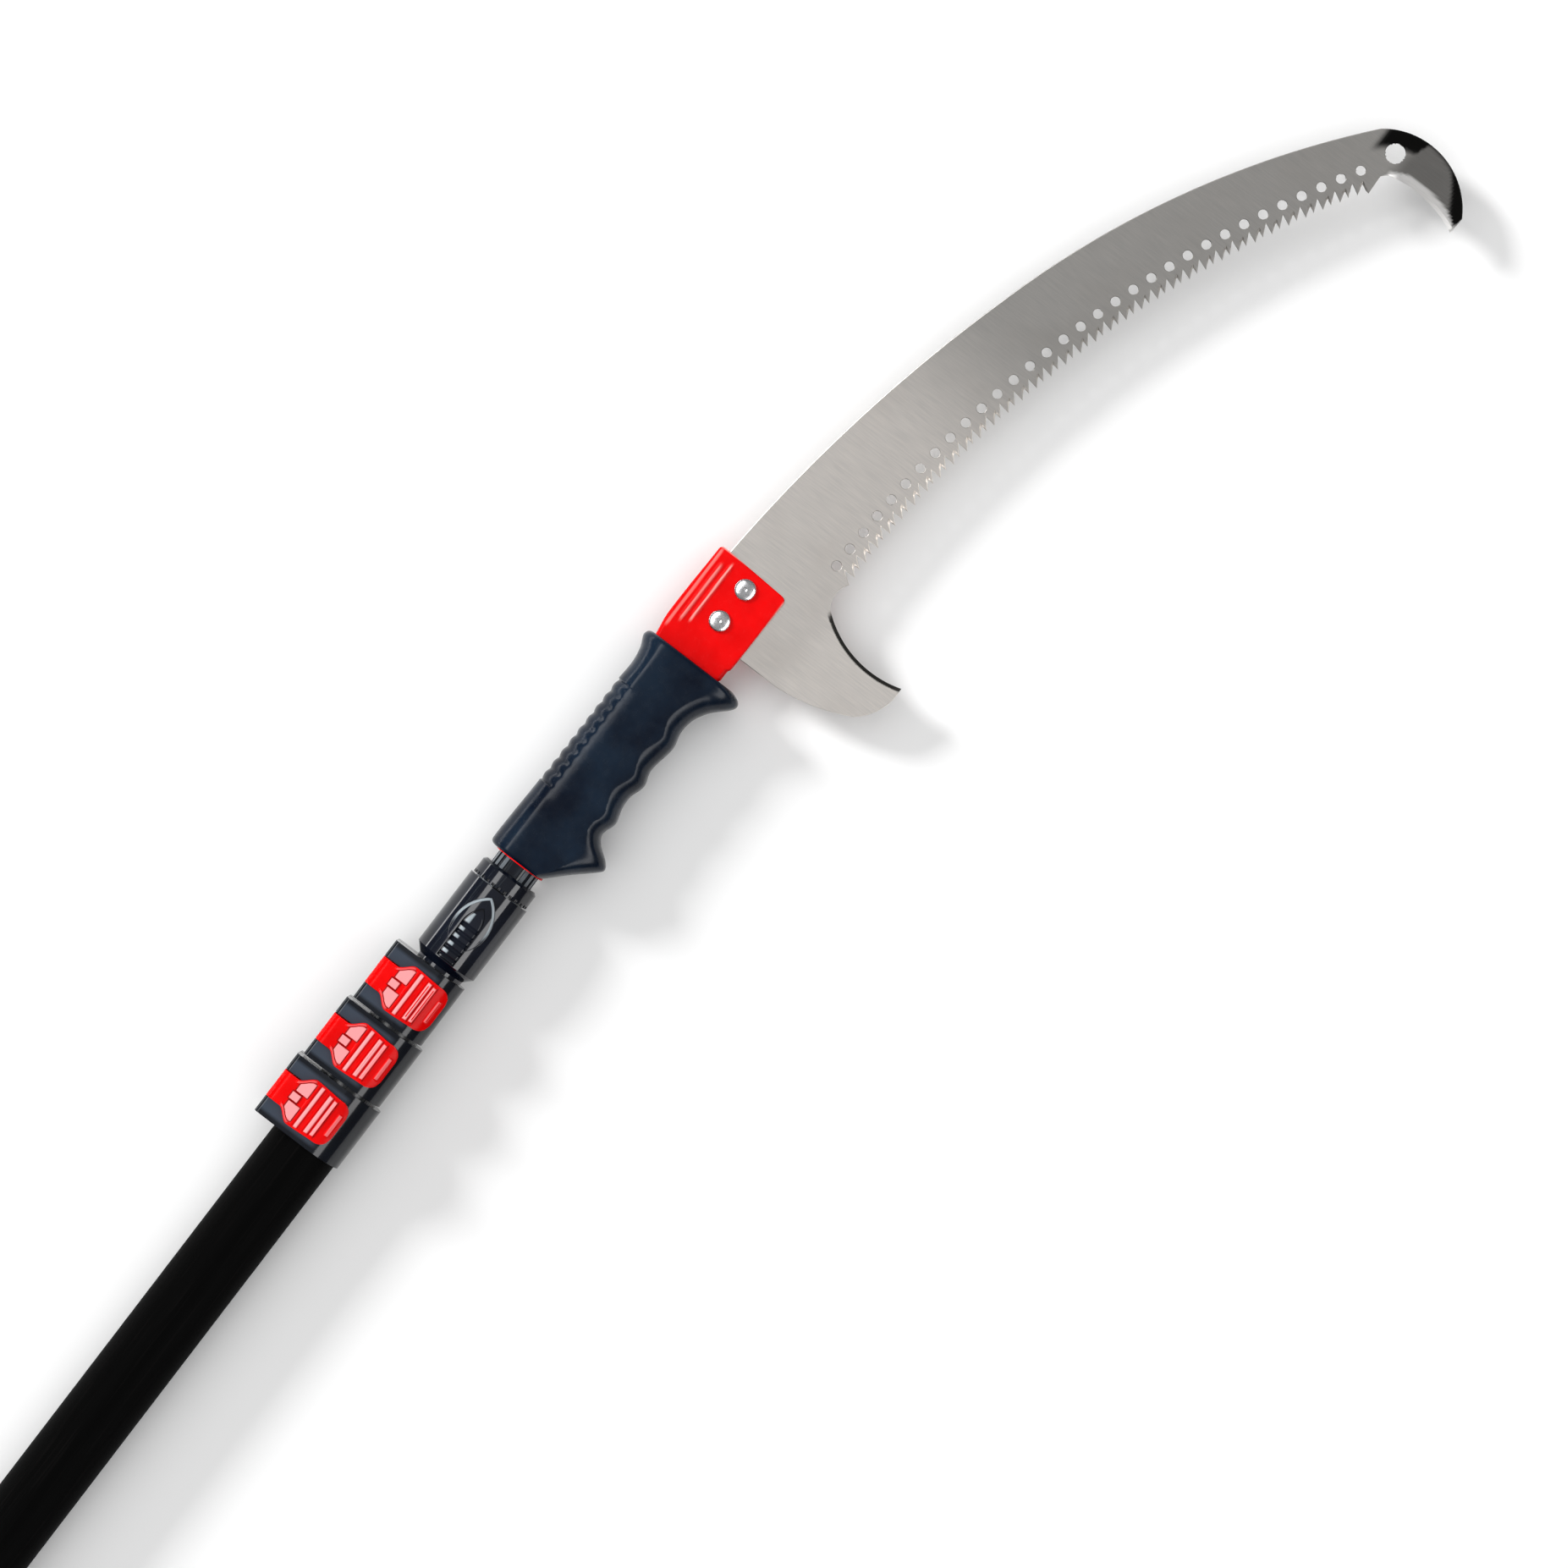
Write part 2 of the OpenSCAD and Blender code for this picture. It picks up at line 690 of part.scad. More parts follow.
// Solid shape where the head tube goes from round to flat; inset is its wall, or 0 for the outside
module head_taper(inset) {
  hull() {
    rod(round_end_x - eps, eps, head_od / 2 - taper_step - inset, $fn = 48);
    translate([flat_x, flat_low + inset, -flat_half + inset])
      cube([eps, flat_high - flat_low - 2 * inset, 2 * (flat_half - inset)]);
  }
}

// Front of the flattened end of the head tube, in X and Y
module head_flat_front() {
  polygon(concat(
    [[flat_x, flat_low], [open_x, -25.4], [open_x + 0.6, -26.2], [blade_x - 5.6, -27.3]],
    arc3([blade_x - 5.6, -27.3], [blade_x - 3.4, -26.6], [blade_x - 2.5, -24.4], 6),
    [[blade_x - 0.3, 14.8]],
    arc3([blade_x - 0.3, 14.8], [blade_x - 0.8, 16.6], [blade_x - 2.4, 17.3], 4),
    arc3([blade_x - 2.4, 17.3], [flat_x + 12, 18.5], [flat_x, flat_high], 12)
  ));
}

module head_tube() {
  ridge_r = 1.3;
  tooth_hole = [tooth_len + 0.8, 6.8];
  color(red) difference() {
    union() {
      difference() {
        union() {
          rod(head_x, round_end_x - head_x, head_od / 2);
          head_taper(0);
        }
        rod(head_x - 1, round_end_x - head_x + 1, head_bore);
        head_taper(head_wall);
      }
      translate([0, 0, -flat_half]) linear_extrude(2 * flat_half) head_flat_front();
      for (side = [-1, 1], ridge = [[13, 37, 11], [18, 34, 6.5]])
        translate([flat_x + ridge[0], ridge[2], side * (flat_half - ridge_r / 2)])
          rotate([0, 90, 0]) cylinder(h = ridge[1], r = ridge_r);
    }
    blade_slot();
    translate([arm_end_x - tooth_len - 0.4, -tooth_hole.y / 2, 0])
      cube([tooth_hole.x, tooth_hole.y, sleeve_od]);
    rivet_holes();
  }
}

// Space for the blade inside the flattened end, open towards its teeth
module blade_slot() {
  depth = flat_high - head_wall;
  translate([flat_x - 1, flat_low + head_wall, -blade_t / 2])
    cube([open_x - flat_x + 2, depth - flat_low - head_wall, blade_t]);
  translate([open_x, -sleeve_od, -blade_t / 2])
    cube([blade_x - flat_x, sleeve_od + depth + 0.4, blade_t]);
}

// Teeth and clearing holes lie on arcs about one centre
tooth_centre = [flat_x + 82.2, -682.6];
tip_radius = 634.3;
hole_radius = 645.6;
first_angle = 90.15;
last_angle = 59.15;
large_gullet = 6.4;
small_gullet = 4.3;
hole_first = 89.8;
hole_step = -0.9927;
rivet_spots = [[flat_x + 45.5, -6.8], [flat_x + 24.5, -6]];
hang_spot = [flat_x + 432.5, -138];

function polar(r, a) = tooth_centre + r * [cos(a), sin(a)];

// Line of the teeth from the heel to the tip: each tooth is a gullet and a point that leans back
function tooth_line() =
  let (n = 2 * tooth_pairs, step = (last_angle - first_angle) / n)
  [for (k = [0:n - 1])
    let (a = first_angle + step * (k + 1), gullet = k % 2 == 0 ? large_gullet : small_gullet)
    each [
      polar(tip_radius + gullet * 0.9, a - step * 0.22),
      polar(tip_radius + gullet, a - step * 0.06),
      polar(tip_radius + (k % 2 == 0 ? 0 : 0.6), a)
    ]];

function at(x, y) = [flat_x + x, y];

module blade_front() {
  polygon(concat(
    [at(3, -22), at(3, 13)],
    arc3(at(3, 13), at(130, 4.1), at(243.5, -20.8), 30),
    arc3(at(243.5, -20.8), at(346, -61.4), at(438.5, -124.2), 28),
    arc3(at(438.5, -124.2), at(447.3, -153), at(426.5, -186.4), 16),
    [at(417, -186)],
    arc3(at(417, -186), at(423.2, -163), at(421.5, -142), 12),
    [at(418.5, -139), at(407.5, -139.5)],
    [for (k = [len(tooth_line()) - 1:-1:0]) tooth_line()[k]],
    [polar(tip_radius, first_angle)],
    arc3(polar(tip_radius, first_angle), at(71.5, -45.6), at(64.5, -48), 8),
    arc3(at(64.5, -48), at(52, -75), at(54, -102.8), 16),
    arc3(at(54, -102.8), at(37, -99.9), at(27, -91.6), 8),
    arc3(at(27, -91.6), at(18.5, -70), at(15, -50), 10),
    [at(15, -22)]
  ));
}

module saw_blade() {
  color(steel) difference() {
    translate([0, 0, -blade_t / 2]) linear_extrude(blade_t) blade_front();
    for (k = [0:clearing_holes - 1])
      translate(concat(polar(hole_radius, hole_first + hole_step * k), -blade_t))
        cylinder(h = 2 * blade_t, d = clearing_d);
    translate(concat(hang_spot, -blade_t)) cylinder(h = 2 * blade_t, d = hang_d);
    rivet_holes();
  }
}

shank_r = 3;
rivet_dome = 2.4;

module rivet_holes() {
  for (spot = rivet_spots)
    translate(concat(spot, -2 * flat_half)) cylinder(h = 4 * flat_half, r = shank_r);
}

// Domed head on one side of the head tube, turned about Z
module rivet_head() {
  r = rivet_d / 2;
  rim = 0.5;
  rotate_extrude() polygon(concat(
    [[0, 0], [r, 0], [r, rim]],
    arc3([r, rim], [r * 0.72, 1.75], [0, rivet_dome], 8)
  ));
}

module blade_rivets() {
  color(zinc) for (spot = rivet_spots) translate(concat(spot, 0)) {
    translate([0, 0, -flat_half]) cylinder(h = 2 * flat_half, r = shank_r);
    translate([0, 0, flat_half]) rivet_head();
    mirror([0, 0, 1]) translate([0, 0, flat_half]) rivet_head();
  }
}

butt_cap();
base_tube();
tube_2();
tube_3();
tube_4();
guide_bush_2();
guide_bush_3();
guide_bush_4();
lower_collar();
middle_collar();
upper_collar();
lower_lever();
middle_lever();
upper_lever();
lower_lever_pin();
middle_lever_pin();
upper_lever_pin();
lower_clamp_bolt();
middle_clamp_bolt();
upper_clamp_bolt();
lower_collar_rivet();
middle_collar_rivet();
upper_collar_rivet();
tip_core();
coupler_pin();
coupler_sleeve();
release_button();
button_spring();
nose_ring();
grip();
head_tube();
saw_blade();
blade_rivets();
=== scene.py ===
from math import atan2, cos, exp, pi, radians, sin, sqrt

import bmesh
import bpy
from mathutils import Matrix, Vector
from mathutils.geometry import delaunay_2d_cdt


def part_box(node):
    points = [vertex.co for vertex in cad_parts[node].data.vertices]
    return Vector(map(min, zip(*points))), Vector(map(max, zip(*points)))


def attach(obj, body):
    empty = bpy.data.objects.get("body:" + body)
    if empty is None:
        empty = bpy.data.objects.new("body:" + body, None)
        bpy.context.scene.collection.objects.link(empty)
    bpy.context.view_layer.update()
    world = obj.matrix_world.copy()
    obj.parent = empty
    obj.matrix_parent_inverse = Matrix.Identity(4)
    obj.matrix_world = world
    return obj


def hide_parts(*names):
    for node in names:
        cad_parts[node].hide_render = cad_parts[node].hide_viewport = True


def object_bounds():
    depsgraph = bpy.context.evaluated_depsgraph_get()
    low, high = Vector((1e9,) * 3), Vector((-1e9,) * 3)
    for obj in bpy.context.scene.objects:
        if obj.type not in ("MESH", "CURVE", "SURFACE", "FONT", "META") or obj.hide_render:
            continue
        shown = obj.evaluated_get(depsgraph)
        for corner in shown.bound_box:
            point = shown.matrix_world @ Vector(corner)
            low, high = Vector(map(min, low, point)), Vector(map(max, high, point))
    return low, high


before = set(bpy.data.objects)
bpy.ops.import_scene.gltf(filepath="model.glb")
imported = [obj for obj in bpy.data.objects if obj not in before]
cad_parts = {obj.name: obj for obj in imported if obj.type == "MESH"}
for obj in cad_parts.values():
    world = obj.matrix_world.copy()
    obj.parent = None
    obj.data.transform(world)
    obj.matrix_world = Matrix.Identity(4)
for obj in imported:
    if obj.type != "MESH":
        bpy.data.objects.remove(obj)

MM = 0.001
cad_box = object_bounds()


def span(node):
    """Lowest and highest corner of a CAD node, in millimetres."""
    low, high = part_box(node)
    return low / MM, high / MM


# ---- Shape helpers ----

def ease(t, a, b):
    """Smooth step from 0 to 1 as t goes from a to b."""
    s = max(0.0, min(1.0, (t - a) / (b - a)))
    return s * s * (3 - 2 * s)


def bump_between(t, a, b, soft):
    """1 where t lies between a and b, falling smoothly to 0 within soft outside."""
    return ease(t, a - soft, a) * (1 - ease(t, b, b + soft))


def through(knots, x):
    """Value at x of a smooth curve through the knots (x, value), sorted by x."""
    last = len(knots) - 1
    k = max(j for j in range(last) if j == 0 or knots[j][0] <= x)
    p0, p1, p2, p3 = knots[max(0, k - 1)], knots[k], knots[k + 1], knots[min(last, k + 2)]
    h = p2[0] - p1[0]
    m1 = (p2[1] - p0[1]) / (p2[0] - p0[0]) * h
    m2 = (p3[1] - p1[1]) / (p3[0] - p1[0]) * h
    t = (x - p1[0]) / h
    low = (2 * t**3 - 3 * t**2 + 1) * p1[1] + (t**3 - 2 * t**2 + t) * m1
    return low + (3 * t**2 - 2 * t**3) * p2[1] + (t**3 - t**2) * m2


def arc3(a, b, c, n):
    """Points of an arc from a to c through b in n steps, without a itself."""
    d = 2 * (a[0] * (b[1] - c[1]) + b[0] * (c[1] - a[1]) + c[0] * (a[1] - b[1]))
    sa, sb, sc = (p[0] ** 2 + p[1] ** 2 for p in (a, b, c))
    ux = (sa * (b[1] - c[1]) + sb * (c[1] - a[1]) + sc * (a[1] - b[1])) / d
    uy = (sa * (c[0] - b[0]) + sb * (a[0] - c[0]) + sc * (b[0] - a[0])) / d
    r = sqrt((a[0] - ux) ** 2 + (a[1] - uy) ** 2)
    start = atan2(a[1] - uy, a[0] - ux)
    turn = atan2(c[1] - uy, c[0] - ux) - start
    left = (b[0] - a[0]) * (c[1] - b[1]) - (b[1] - a[1]) * (c[0] - b[0]) > 0
    sweep = turn % (2 * pi) if left else turn % (2 * pi) - 2 * pi
    return [
        (ux + r * cos(start + sweep * k / n), uy + r * sin(start + sweep * k / n))
        for k in range(1, n + 1)
    ]


def soften(path, radius, steps=3):
    """An open path with each inner corner replaced by a small arc."""
    out = [path[0]]
    for before, corner, after in zip(path, path[1:], path[2:]):
        p = Vector(corner)
        to_a, to_b = Vector(before) - p, Vector(after) - p
        reach = min(radius, 0.45 * to_a.length, 0.45 * to_b.length)
        a, b = p + to_a.normalized() * reach, p + to_b.normalized() * reach
        for k in range(steps + 1):
            t = k / steps
            out.append(tuple(a * (1 - t) ** 2 + p * 2 * t * (1 - t) + b * t**2))
    return out + [path[-1]]


def ring_faces(rings, size, loop=False):
    """Quads between neighbouring rings of size points; loop joins the last ring to the first."""
    faces = []
    for j in range(rings if loop else rings - 1):
        a, b = j * size, (j + 1) % rings * size
        for k in range(size):
            m = (k + 1) % size
            faces.append((a + k, a + m, b + m, b + k))
    return faces


def strip_faces(rows, columns):
    """Quads of a sheet of rows by columns points."""
    faces = []
    for j in range(rows - 1):
        for k in range(columns - 1):
            a = j * columns + k
            faces.append((a, a + 1, a + columns + 1, a + columns))
    return faces


def slab_faces(rows, columns):
    """Faces of a closed slab: a sheet of rows by columns points, the same sheet under it, and the rim."""
    top = strip_faces(rows, columns)
    shift = rows * columns
    faces = top + [tuple(i + shift for i in reversed(f)) for f in top]
    rim = list(range(columns)) + [j * columns + columns - 1 for j in range(1, rows)]
    rim += [(rows - 1) * columns + k for k in range(columns - 2, -1, -1)]
    rim += [j * columns for j in range(rows - 2, 0, -1)]
    return faces + [(a, b, b + shift, a + shift) for a, b in zip(rim, rim[1:] + rim[:1])]


def lathe(profile, sides=96, loop=False):
    """Points and faces of the profile (x, radius) turned about the pole's axis."""
    points = [
        (x, r * cos(2 * pi * k / sides), r * sin(2 * pi * k / sides))
        for x, r in profile for k in range(sides)
    ]
    return points, ring_faces(len(profile), sides, loop)


def add_piece(name, points, faces, body, slot, look, stands_for=(), sharp=40):
    """A new piece from points in millimetres that rides on body and stands for some CAD nodes."""
    mesh = bpy.data.meshes.new(name)
    mesh.from_pydata([Vector(p) * MM for p in points], [], faces)
    shape = bmesh.new()
    shape.from_mesh(mesh)
    bmesh.ops.remove_doubles(shape, verts=shape.verts, dist=1e-6)
    bmesh.ops.delete(shape, geom=[v for v in shape.verts if not v.link_faces], context="VERTS")
    bmesh.ops.recalc_face_normals(shape, faces=shape.faces)
    shape.to_mesh(mesh)
    shape.free()
    mesh.polygons.foreach_set("use_smooth", [True] * len(mesh.polygons))
    mesh.set_sharp_from_angle(angle=radians(sharp))
    mesh.materials.append(look)
    obj = bpy.data.objects.new(name, mesh)
    bpy.context.scene.collection.objects.link(obj)
    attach(obj, body)
    if stands_for:
        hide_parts(*stands_for)
    return obj


def paint(piece, name, tone):
    """Colour attribute on a piece: tone(x, y, z) in millimetres gives a share or a colour."""
    layer = piece.data.color_attributes.new(name, "FLOAT_COLOR", "POINT")
    for vertex, item in zip(piece.data.vertices, layer.data):
        value = tone(*(vertex.co / MM))
        item.color = (*value, 1) if isinstance(value, Vector) else (value, value, value, 1)


def dress(node, look, bevel=0.35):
    """A CAD node kept as it is, with rounded edges, smooth shading and a material."""
    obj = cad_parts[node]
    obj.material_slots[0].material = look
    obj.modifiers.new("weld", "WELD").merge_threshold = 2e-6
    flat = obj.modifiers.new("flat", "DECIMATE")
    flat.decimate_type = "DISSOLVE"
    flat.angle_limit = radians(1)
    edge = obj.modifiers.new("edge", "BEVEL")
    edge.width = bevel * MM
    edge.segments = 3
    edge.limit_method = "ANGLE"
    edge.angle_limit = radians(35)
    edge.miter_outer = "MITER_ARC"
    obj.modifiers.new("shade", "WEIGHTED_NORMAL")


# ---- Materials ----

def shader(name):
    """A new material: its node tree, Principled shader, and coordinates in metres of the shared frame."""
    look = bpy.data.materials.new(name)
    look.use_nodes = True
    tree = look.node_tree
    place = tree.nodes.new("ShaderNodeTexCoord").outputs["Object"]
    return look, tree, tree.nodes["Principled BSDF"], place


def noise(tree, place, scale, detail=3, stretch=None):
    """Noise at scale cells per metre; stretch multiplies the scale along each axis."""
    node = tree.nodes.new("ShaderNodeTexNoise")
    node.inputs["Scale"].default_value = scale
    node.inputs["Detail"].default_value = detail
    if stretch:
        mapping = tree.nodes.new("ShaderNodeMapping")
        mapping.inputs["Scale"].default_value = stretch
        tree.links.new(place, mapping.inputs["Vector"])
        place = mapping.outputs["Vector"]
    tree.links.new(place, node.inputs["Vector"])
    return node.outputs["Fac"]


def remap(tree, value, low, high, to_low, to_high):
    """value from low..high to to_low..to_high, clamped."""
    node = tree.nodes.new("ShaderNodeMapRange")
    for name, number in (("From Min", low), ("From Max", high), ("To Min", to_low), ("To Max", to_high)):
        node.inputs[name].default_value = number
    tree.links.new(value, node.inputs["Value"])
    return node.outputs["Result"]


def mix(tree, share, a, b):
    """Colour from a to b by share; a and b are colours or sockets."""
    node = tree.nodes.new("ShaderNodeMix")
    node.data_type = "RGBA"
    tree.links.new(share, node.inputs["Factor"])
    for socket, value in ((node.inputs[6], a), (node.inputs[7], b)):
        if isinstance(value, tuple):
            socket.default_value = (*value, 1)
        else:
            tree.links.new(value, socket)
    return node.outputs[2]


def bump(tree, bsdf, parts):
    """Bump from (height socket, depth in millimetres) parts, one on top of the other."""
    normal = None
    for height, depth in parts:
        node = tree.nodes.new("ShaderNodeBump")
        node.inputs["Distance"].default_value = depth * MM
        tree.links.new(height, node.inputs["Height"])
        if normal:
            tree.links.new(normal, node.inputs["Normal"])
        normal = node.outputs["Normal"]
    tree.links.new(normal, bsdf.inputs["Normal"])


def edges(tree, low=0.52, high=0.6):
    """1 on worn convex edges, 0 elsewhere."""
    point = tree.nodes.new("ShaderNodeNewGeometry").outputs["Pointiness"]
    return remap(tree, point, low, high, 0, 1)


def maths(tree, operation, a, b):
    """Result of a Math node; a is a socket, b a socket or a number."""
    node = tree.nodes.new("ShaderNodeMath")
    node.operation = operation
    tree.links.new(a, node.inputs[0])
    if isinstance(b, float):
        node.inputs[1].default_value = b
    else:
        tree.links.new(b, node.inputs[1])
    return node.outputs[0]


def attribute(tree, name):
    """Value of a mesh's colour attribute, 0 where a mesh has none."""
    node = tree.nodes.new("ShaderNodeAttribute")
    node.attribute_name = name
    return node.outputs["Fac"]


def between_ends(tree, place):
    """1 over the middle of each collar's length and 0 by its ends: the span of the painted reflection on the
    collars' top faces.
    """
    low, high = span("lower_collar")
    pitch = (span("middle_collar")[0].x - low.x) * MM
    along = tree.nodes.new("ShaderNodeSeparateXYZ")
    tree.links.new(place, along.inputs[0])
    turns = maths(tree, "DIVIDE", maths(tree, "SUBTRACT", along.outputs["X"], low.x * MM), pitch)
    middle = (high.x - low.x) / 2 * MM / pitch
    off = maths(tree, "ABSOLUTE", maths(tree, "SUBTRACT", maths(tree, "FRACT", turns, 0.0), middle), 0.0)
    return remap(tree, off, middle - 0.1, middle - 0.05, 1, 0)


# Radii, in metres, between which the painted highlight on the neck's rib tops comes in
RIB_HIGHLIGHT_RADII = (0.0123, 0.0125)


def plastic(name, dark, light, rough, grain, grain_depth, specular=0.5,
            edge=None, painted_highlight=None, painted_reflection=None, ribs=None):
    """Moulded plastic or rubber: soft mottling, uneven gloss, fine grain, and worn edges.
    The tone given for raised parts is a painted highlight that one colour attribute brings in, a second
    attribute paints shade into the grooves, the tone given for faces that look straight up is a painted
    reflection, and the tone given for the neck's rib tops is a painted highlight."""
    look, tree, bsdf, place = shader(name)
    mottle = noise(tree, place, 40, 5)
    colour = mix(tree, remap(tree, mottle, 0.35, 0.65, 0, 1), dark, light)
    if edge:
        colour = mix(tree, edges(tree), colour, edge)
    # Painted reflection: faces that look straight up take a lighter tone over the middle of each collar's
    # length
    if painted_reflection:
        up = tree.nodes.new("ShaderNodeSeparateXYZ")
        tree.links.new(tree.nodes.new("ShaderNodeTexCoord").outputs["Normal"], up.inputs[0])
        share = remap(tree, up.outputs["Z"], 0.95, 0.995, 0, 1)
        colour = mix(tree, maths(tree, "MULTIPLY", share, between_ends(tree, place)), colour, painted_reflection)
    # Painted highlight on the neck's rib tops, found by their radius from the pole's axis
    if ribs:
        radius = tree.nodes.new("ShaderNodeVectorMath")
        radius.operation = "LENGTH"
        flat = tree.nodes.new("ShaderNodeMapping")
        flat.inputs["Scale"].default_value = (0, 1, 1)
        tree.links.new(place, flat.inputs["Vector"])
        tree.links.new(flat.outputs["Vector"], radius.inputs[0])
        colour = mix(tree, remap(tree, radius.outputs["Value"], *RIB_HIGHLIGHT_RADII, 0, 1), colour, ribs)
    # Painted highlight on raised parts from one colour attribute, and painted shade in the grooves from
    # another
    if painted_highlight:
        colour = mix(tree, attribute(tree, "painted_light"), colour, painted_highlight)
        colour = mix(tree, attribute(tree, "painted_shade"), colour, tuple(0.12 * c for c in dark))
    tree.links.new(colour, bsdf.inputs["Base Color"])
    uneven = noise(tree, place, 260, 4)
    tree.links.new(remap(tree, uneven, 0.3, 0.7, rough[0], rough[1]), bsdf.inputs["Roughness"])
    bsdf.inputs["Specular IOR Level"].default_value = specular
    bump(tree, bsdf, [(noise(tree, place, 60, 1), 0.04), (noise(tree, place, grain, 4), grain_depth)])
    return look


def drawn_tube(name, colour, scuffed, rough, specular):
    """Anodised tube with faint draw lines and scuffs along its length."""
    look, tree, bsdf, place = shader(name)
    streaks = noise(tree, place, 30, 6, (0.5, 22, 22))
    worn = remap(tree, streaks, 0.55, 0.8, 0, 1)
    tree.links.new(mix(tree, worn, colour, scuffed), bsdf.inputs["Base Color"])
    tree.links.new(remap(tree, streaks, 0.3, 0.7, *rough), bsdf.inputs["Roughness"])
    bsdf.inputs["Specular IOR Level"].default_value = specular
    bump(tree, bsdf, [(streaks, 0.02), (noise(tree, place, 2200, 2), 0.012)])
    return look


def painted_steel():
    """Gloss red powder coat: orange peel, painted highlights along its ridges and edges, and dark chips along
    its edges.
    """
    look, tree, bsdf, place = shader("head_paint")
    tone = remap(tree, noise(tree, place, 60, 4), 0.35, 0.65, 0, 1)
    paint = mix(tree, tone, (0.66, 0.0006, 0.0008), (0.76, 0.001, 0.0015))
    flaked = remap(tree, noise(tree, place, 900, 4), 0.52, 0.6, 0, 0.6)
    chips = maths(tree, "MULTIPLY", edges(tree, 0.56, 0.66), flaked)
    # Painted highlight: the colour attribute lightens ridges, the spine's corner and the open edges towards
    # pink-white
    paint = mix(tree, attribute(tree, "painted_light"), paint, (0.95, 0.4, 0.36))
    tree.links.new(mix(tree, chips, paint, (0.28, 0.05, 0.04)), bsdf.inputs["Base Color"])
    tree.links.new(remap(tree, noise(tree, place, 300, 3), 0.3, 0.7, 0.16, 0.3), bsdf.inputs["Roughness"])
    bsdf.inputs["Specular IOR Level"].default_value = 0.06
    bump(tree, bsdf, [(noise(tree, place, 420, 2), 0.008), (noise(tree, place, 110, 1), 0.03)])
    return look


def blade_steel():
    """Ground spring steel: its colour with painted light from a colour attribute, grinding lines across the
    blade, and a few stains.
    """
    look, tree, bsdf, place = shader("blade_steel")
    # The colour attribute holds the steel's colour with painted reflections, a painted highlight and painted
    # shade
    painted_light = tree.nodes.new("ShaderNodeAttribute")
    painted_light.attribute_name = "painted_light"
    lines = noise(tree, place, 55, 3, (24, 1.2, 1))
    cloudy = noise(tree, place, 22, 4)
    shade = tree.nodes.new("ShaderNodeMix")
    shade.data_type = "RGBA"
    shade.blend_type = "MULTIPLY"
    shade.inputs["Factor"].default_value = 1
    tree.links.new(painted_light.outputs["Color"], shade.inputs[6])
    light = mix(tree, remap(tree, lines, 0.3, 0.7, 0, 1), (0.9, 0.9, 0.9), (1.0, 0.99, 0.98))
    stained = remap(tree, cloudy, 0.5, 0.75, 0, 0.6)
    tree.links.new(mix(tree, stained, light, (0.86, 0.84, 0.82)), shade.inputs[7])
    tree.links.new(shade.outputs[2], bsdf.inputs["Base Color"])
    bsdf.inputs["Metallic"].default_value = 1
    tree.links.new(remap(tree, lines, 0.3, 0.7, 0.33, 0.355), bsdf.inputs["Roughness"])
    bump(tree, bsdf, [(noise(tree, place, 900, 2, (3, 0.4, 1)), 0.0008)])
    return look


def plated(name, colour, stain, rough):
    """Zinc-plated or bright steel hardware with small stains and pits."""
    look, tree, bsdf, place = shader(name)
    spots = remap(tree, noise(tree, place, 1100, 5), 0.55, 0.7, 0, 1)
    tree.links.new(mix(tree, spots, colour, stain), bsdf.inputs["Base Color"])
    bsdf.inputs["Metallic"].default_value = 1
    tree.links.new(remap(tree, noise(tree, place, 500, 4), 0.3, 0.7, *rough), bsdf.inputs["Roughness"])
    bump(tree, bsdf, [(noise(tree, place, 1600, 3), 0.02)])
    return look


# Last tones: painted highlight (GLOSS_BLACK, GRIP_BLACK, LEVER_RED), painted reflection on top faces
# (COLLAR_BLACK), painted highlight on rib tops (NECK_BLACK)
GLOSS_BLACK = plastic("nylon_gloss", (0.002, 0.003, 0.007), (0.005, 0.007, 0.014), (0.06, 0.1), 1500, 0.003,
                      0.45, (0.012, 0.015, 0.02), (0.4, 0.46, 0.5))
COLLAR_BLACK = plastic("collar_nylon", (0.002, 0.003, 0.006), (0.005, 0.007, 0.011), (0.08, 0.14), 1500,
                       0.004, 0.32, (0.01, 0.012, 0.016), painted_reflection=(0.038, 0.05, 0.07))
GRIP_BLACK = plastic("grip_rubber", (0.0004, 0.003, 0.010), (0.004, 0.012, 0.026), (0.2, 0.3), 1300, 0.004,
                     0.2, (0.012, 0.02, 0.035), (0.18, 0.23, 0.28))
CAP_BLACK = plastic("cap_rubber", (0.003, 0.003, 0.004), (0.009, 0.009, 0.01), (0.5, 0.7), 900, 0.04,
                    0.25, (0.03, 0.03, 0.03))
LEVER_RED = plastic("lever_red", (0.66, 0.0008, 0.001), (0.8, 0.0012, 0.0015), (0.14, 0.24), 1500, 0.005,
                    0.06, (0.8, 0.003, 0.003), (0.95, 0.36, 0.37))
NECK_BLACK = plastic("neck_nylon", (0.002, 0.003, 0.007), (0.005, 0.007, 0.014), (0.12, 0.2), 1500, 0.004,
                     0.3, (0.012, 0.015, 0.02), ribs=(0.11, 0.125, 0.14))
BUSH_WHITE = plastic("bush_acetal", (0.62, 0.61, 0.56), (0.72, 0.71, 0.67), (0.32, 0.45), 1200, 0.02,
                     0.5, (0.5, 0.49, 0.45))
BASE_TUBE = drawn_tube("tube_paint", (0.0006, 0.0006, 0.0006), (0.004, 0.0035, 0.0035), (0.55, 0.66), 0.03)
INNER_TUBE = drawn_tube("tube_anodised", (0.006, 0.007, 0.009), (0.03, 0.031, 0.033), (0.2, 0.34), 0.4)
HEAD_RED = painted_steel()
BLADE = blade_steel()
ZINC = plated("zinc", (0.78, 0.78, 0.8), (0.5, 0.49, 0.47), (0.16, 0.3))
HARDWARE = plated("hardware", (0.55, 0.55, 0.56), (0.3, 0.28, 0.26), (0.25, 0.4))


# ---- Pole ----

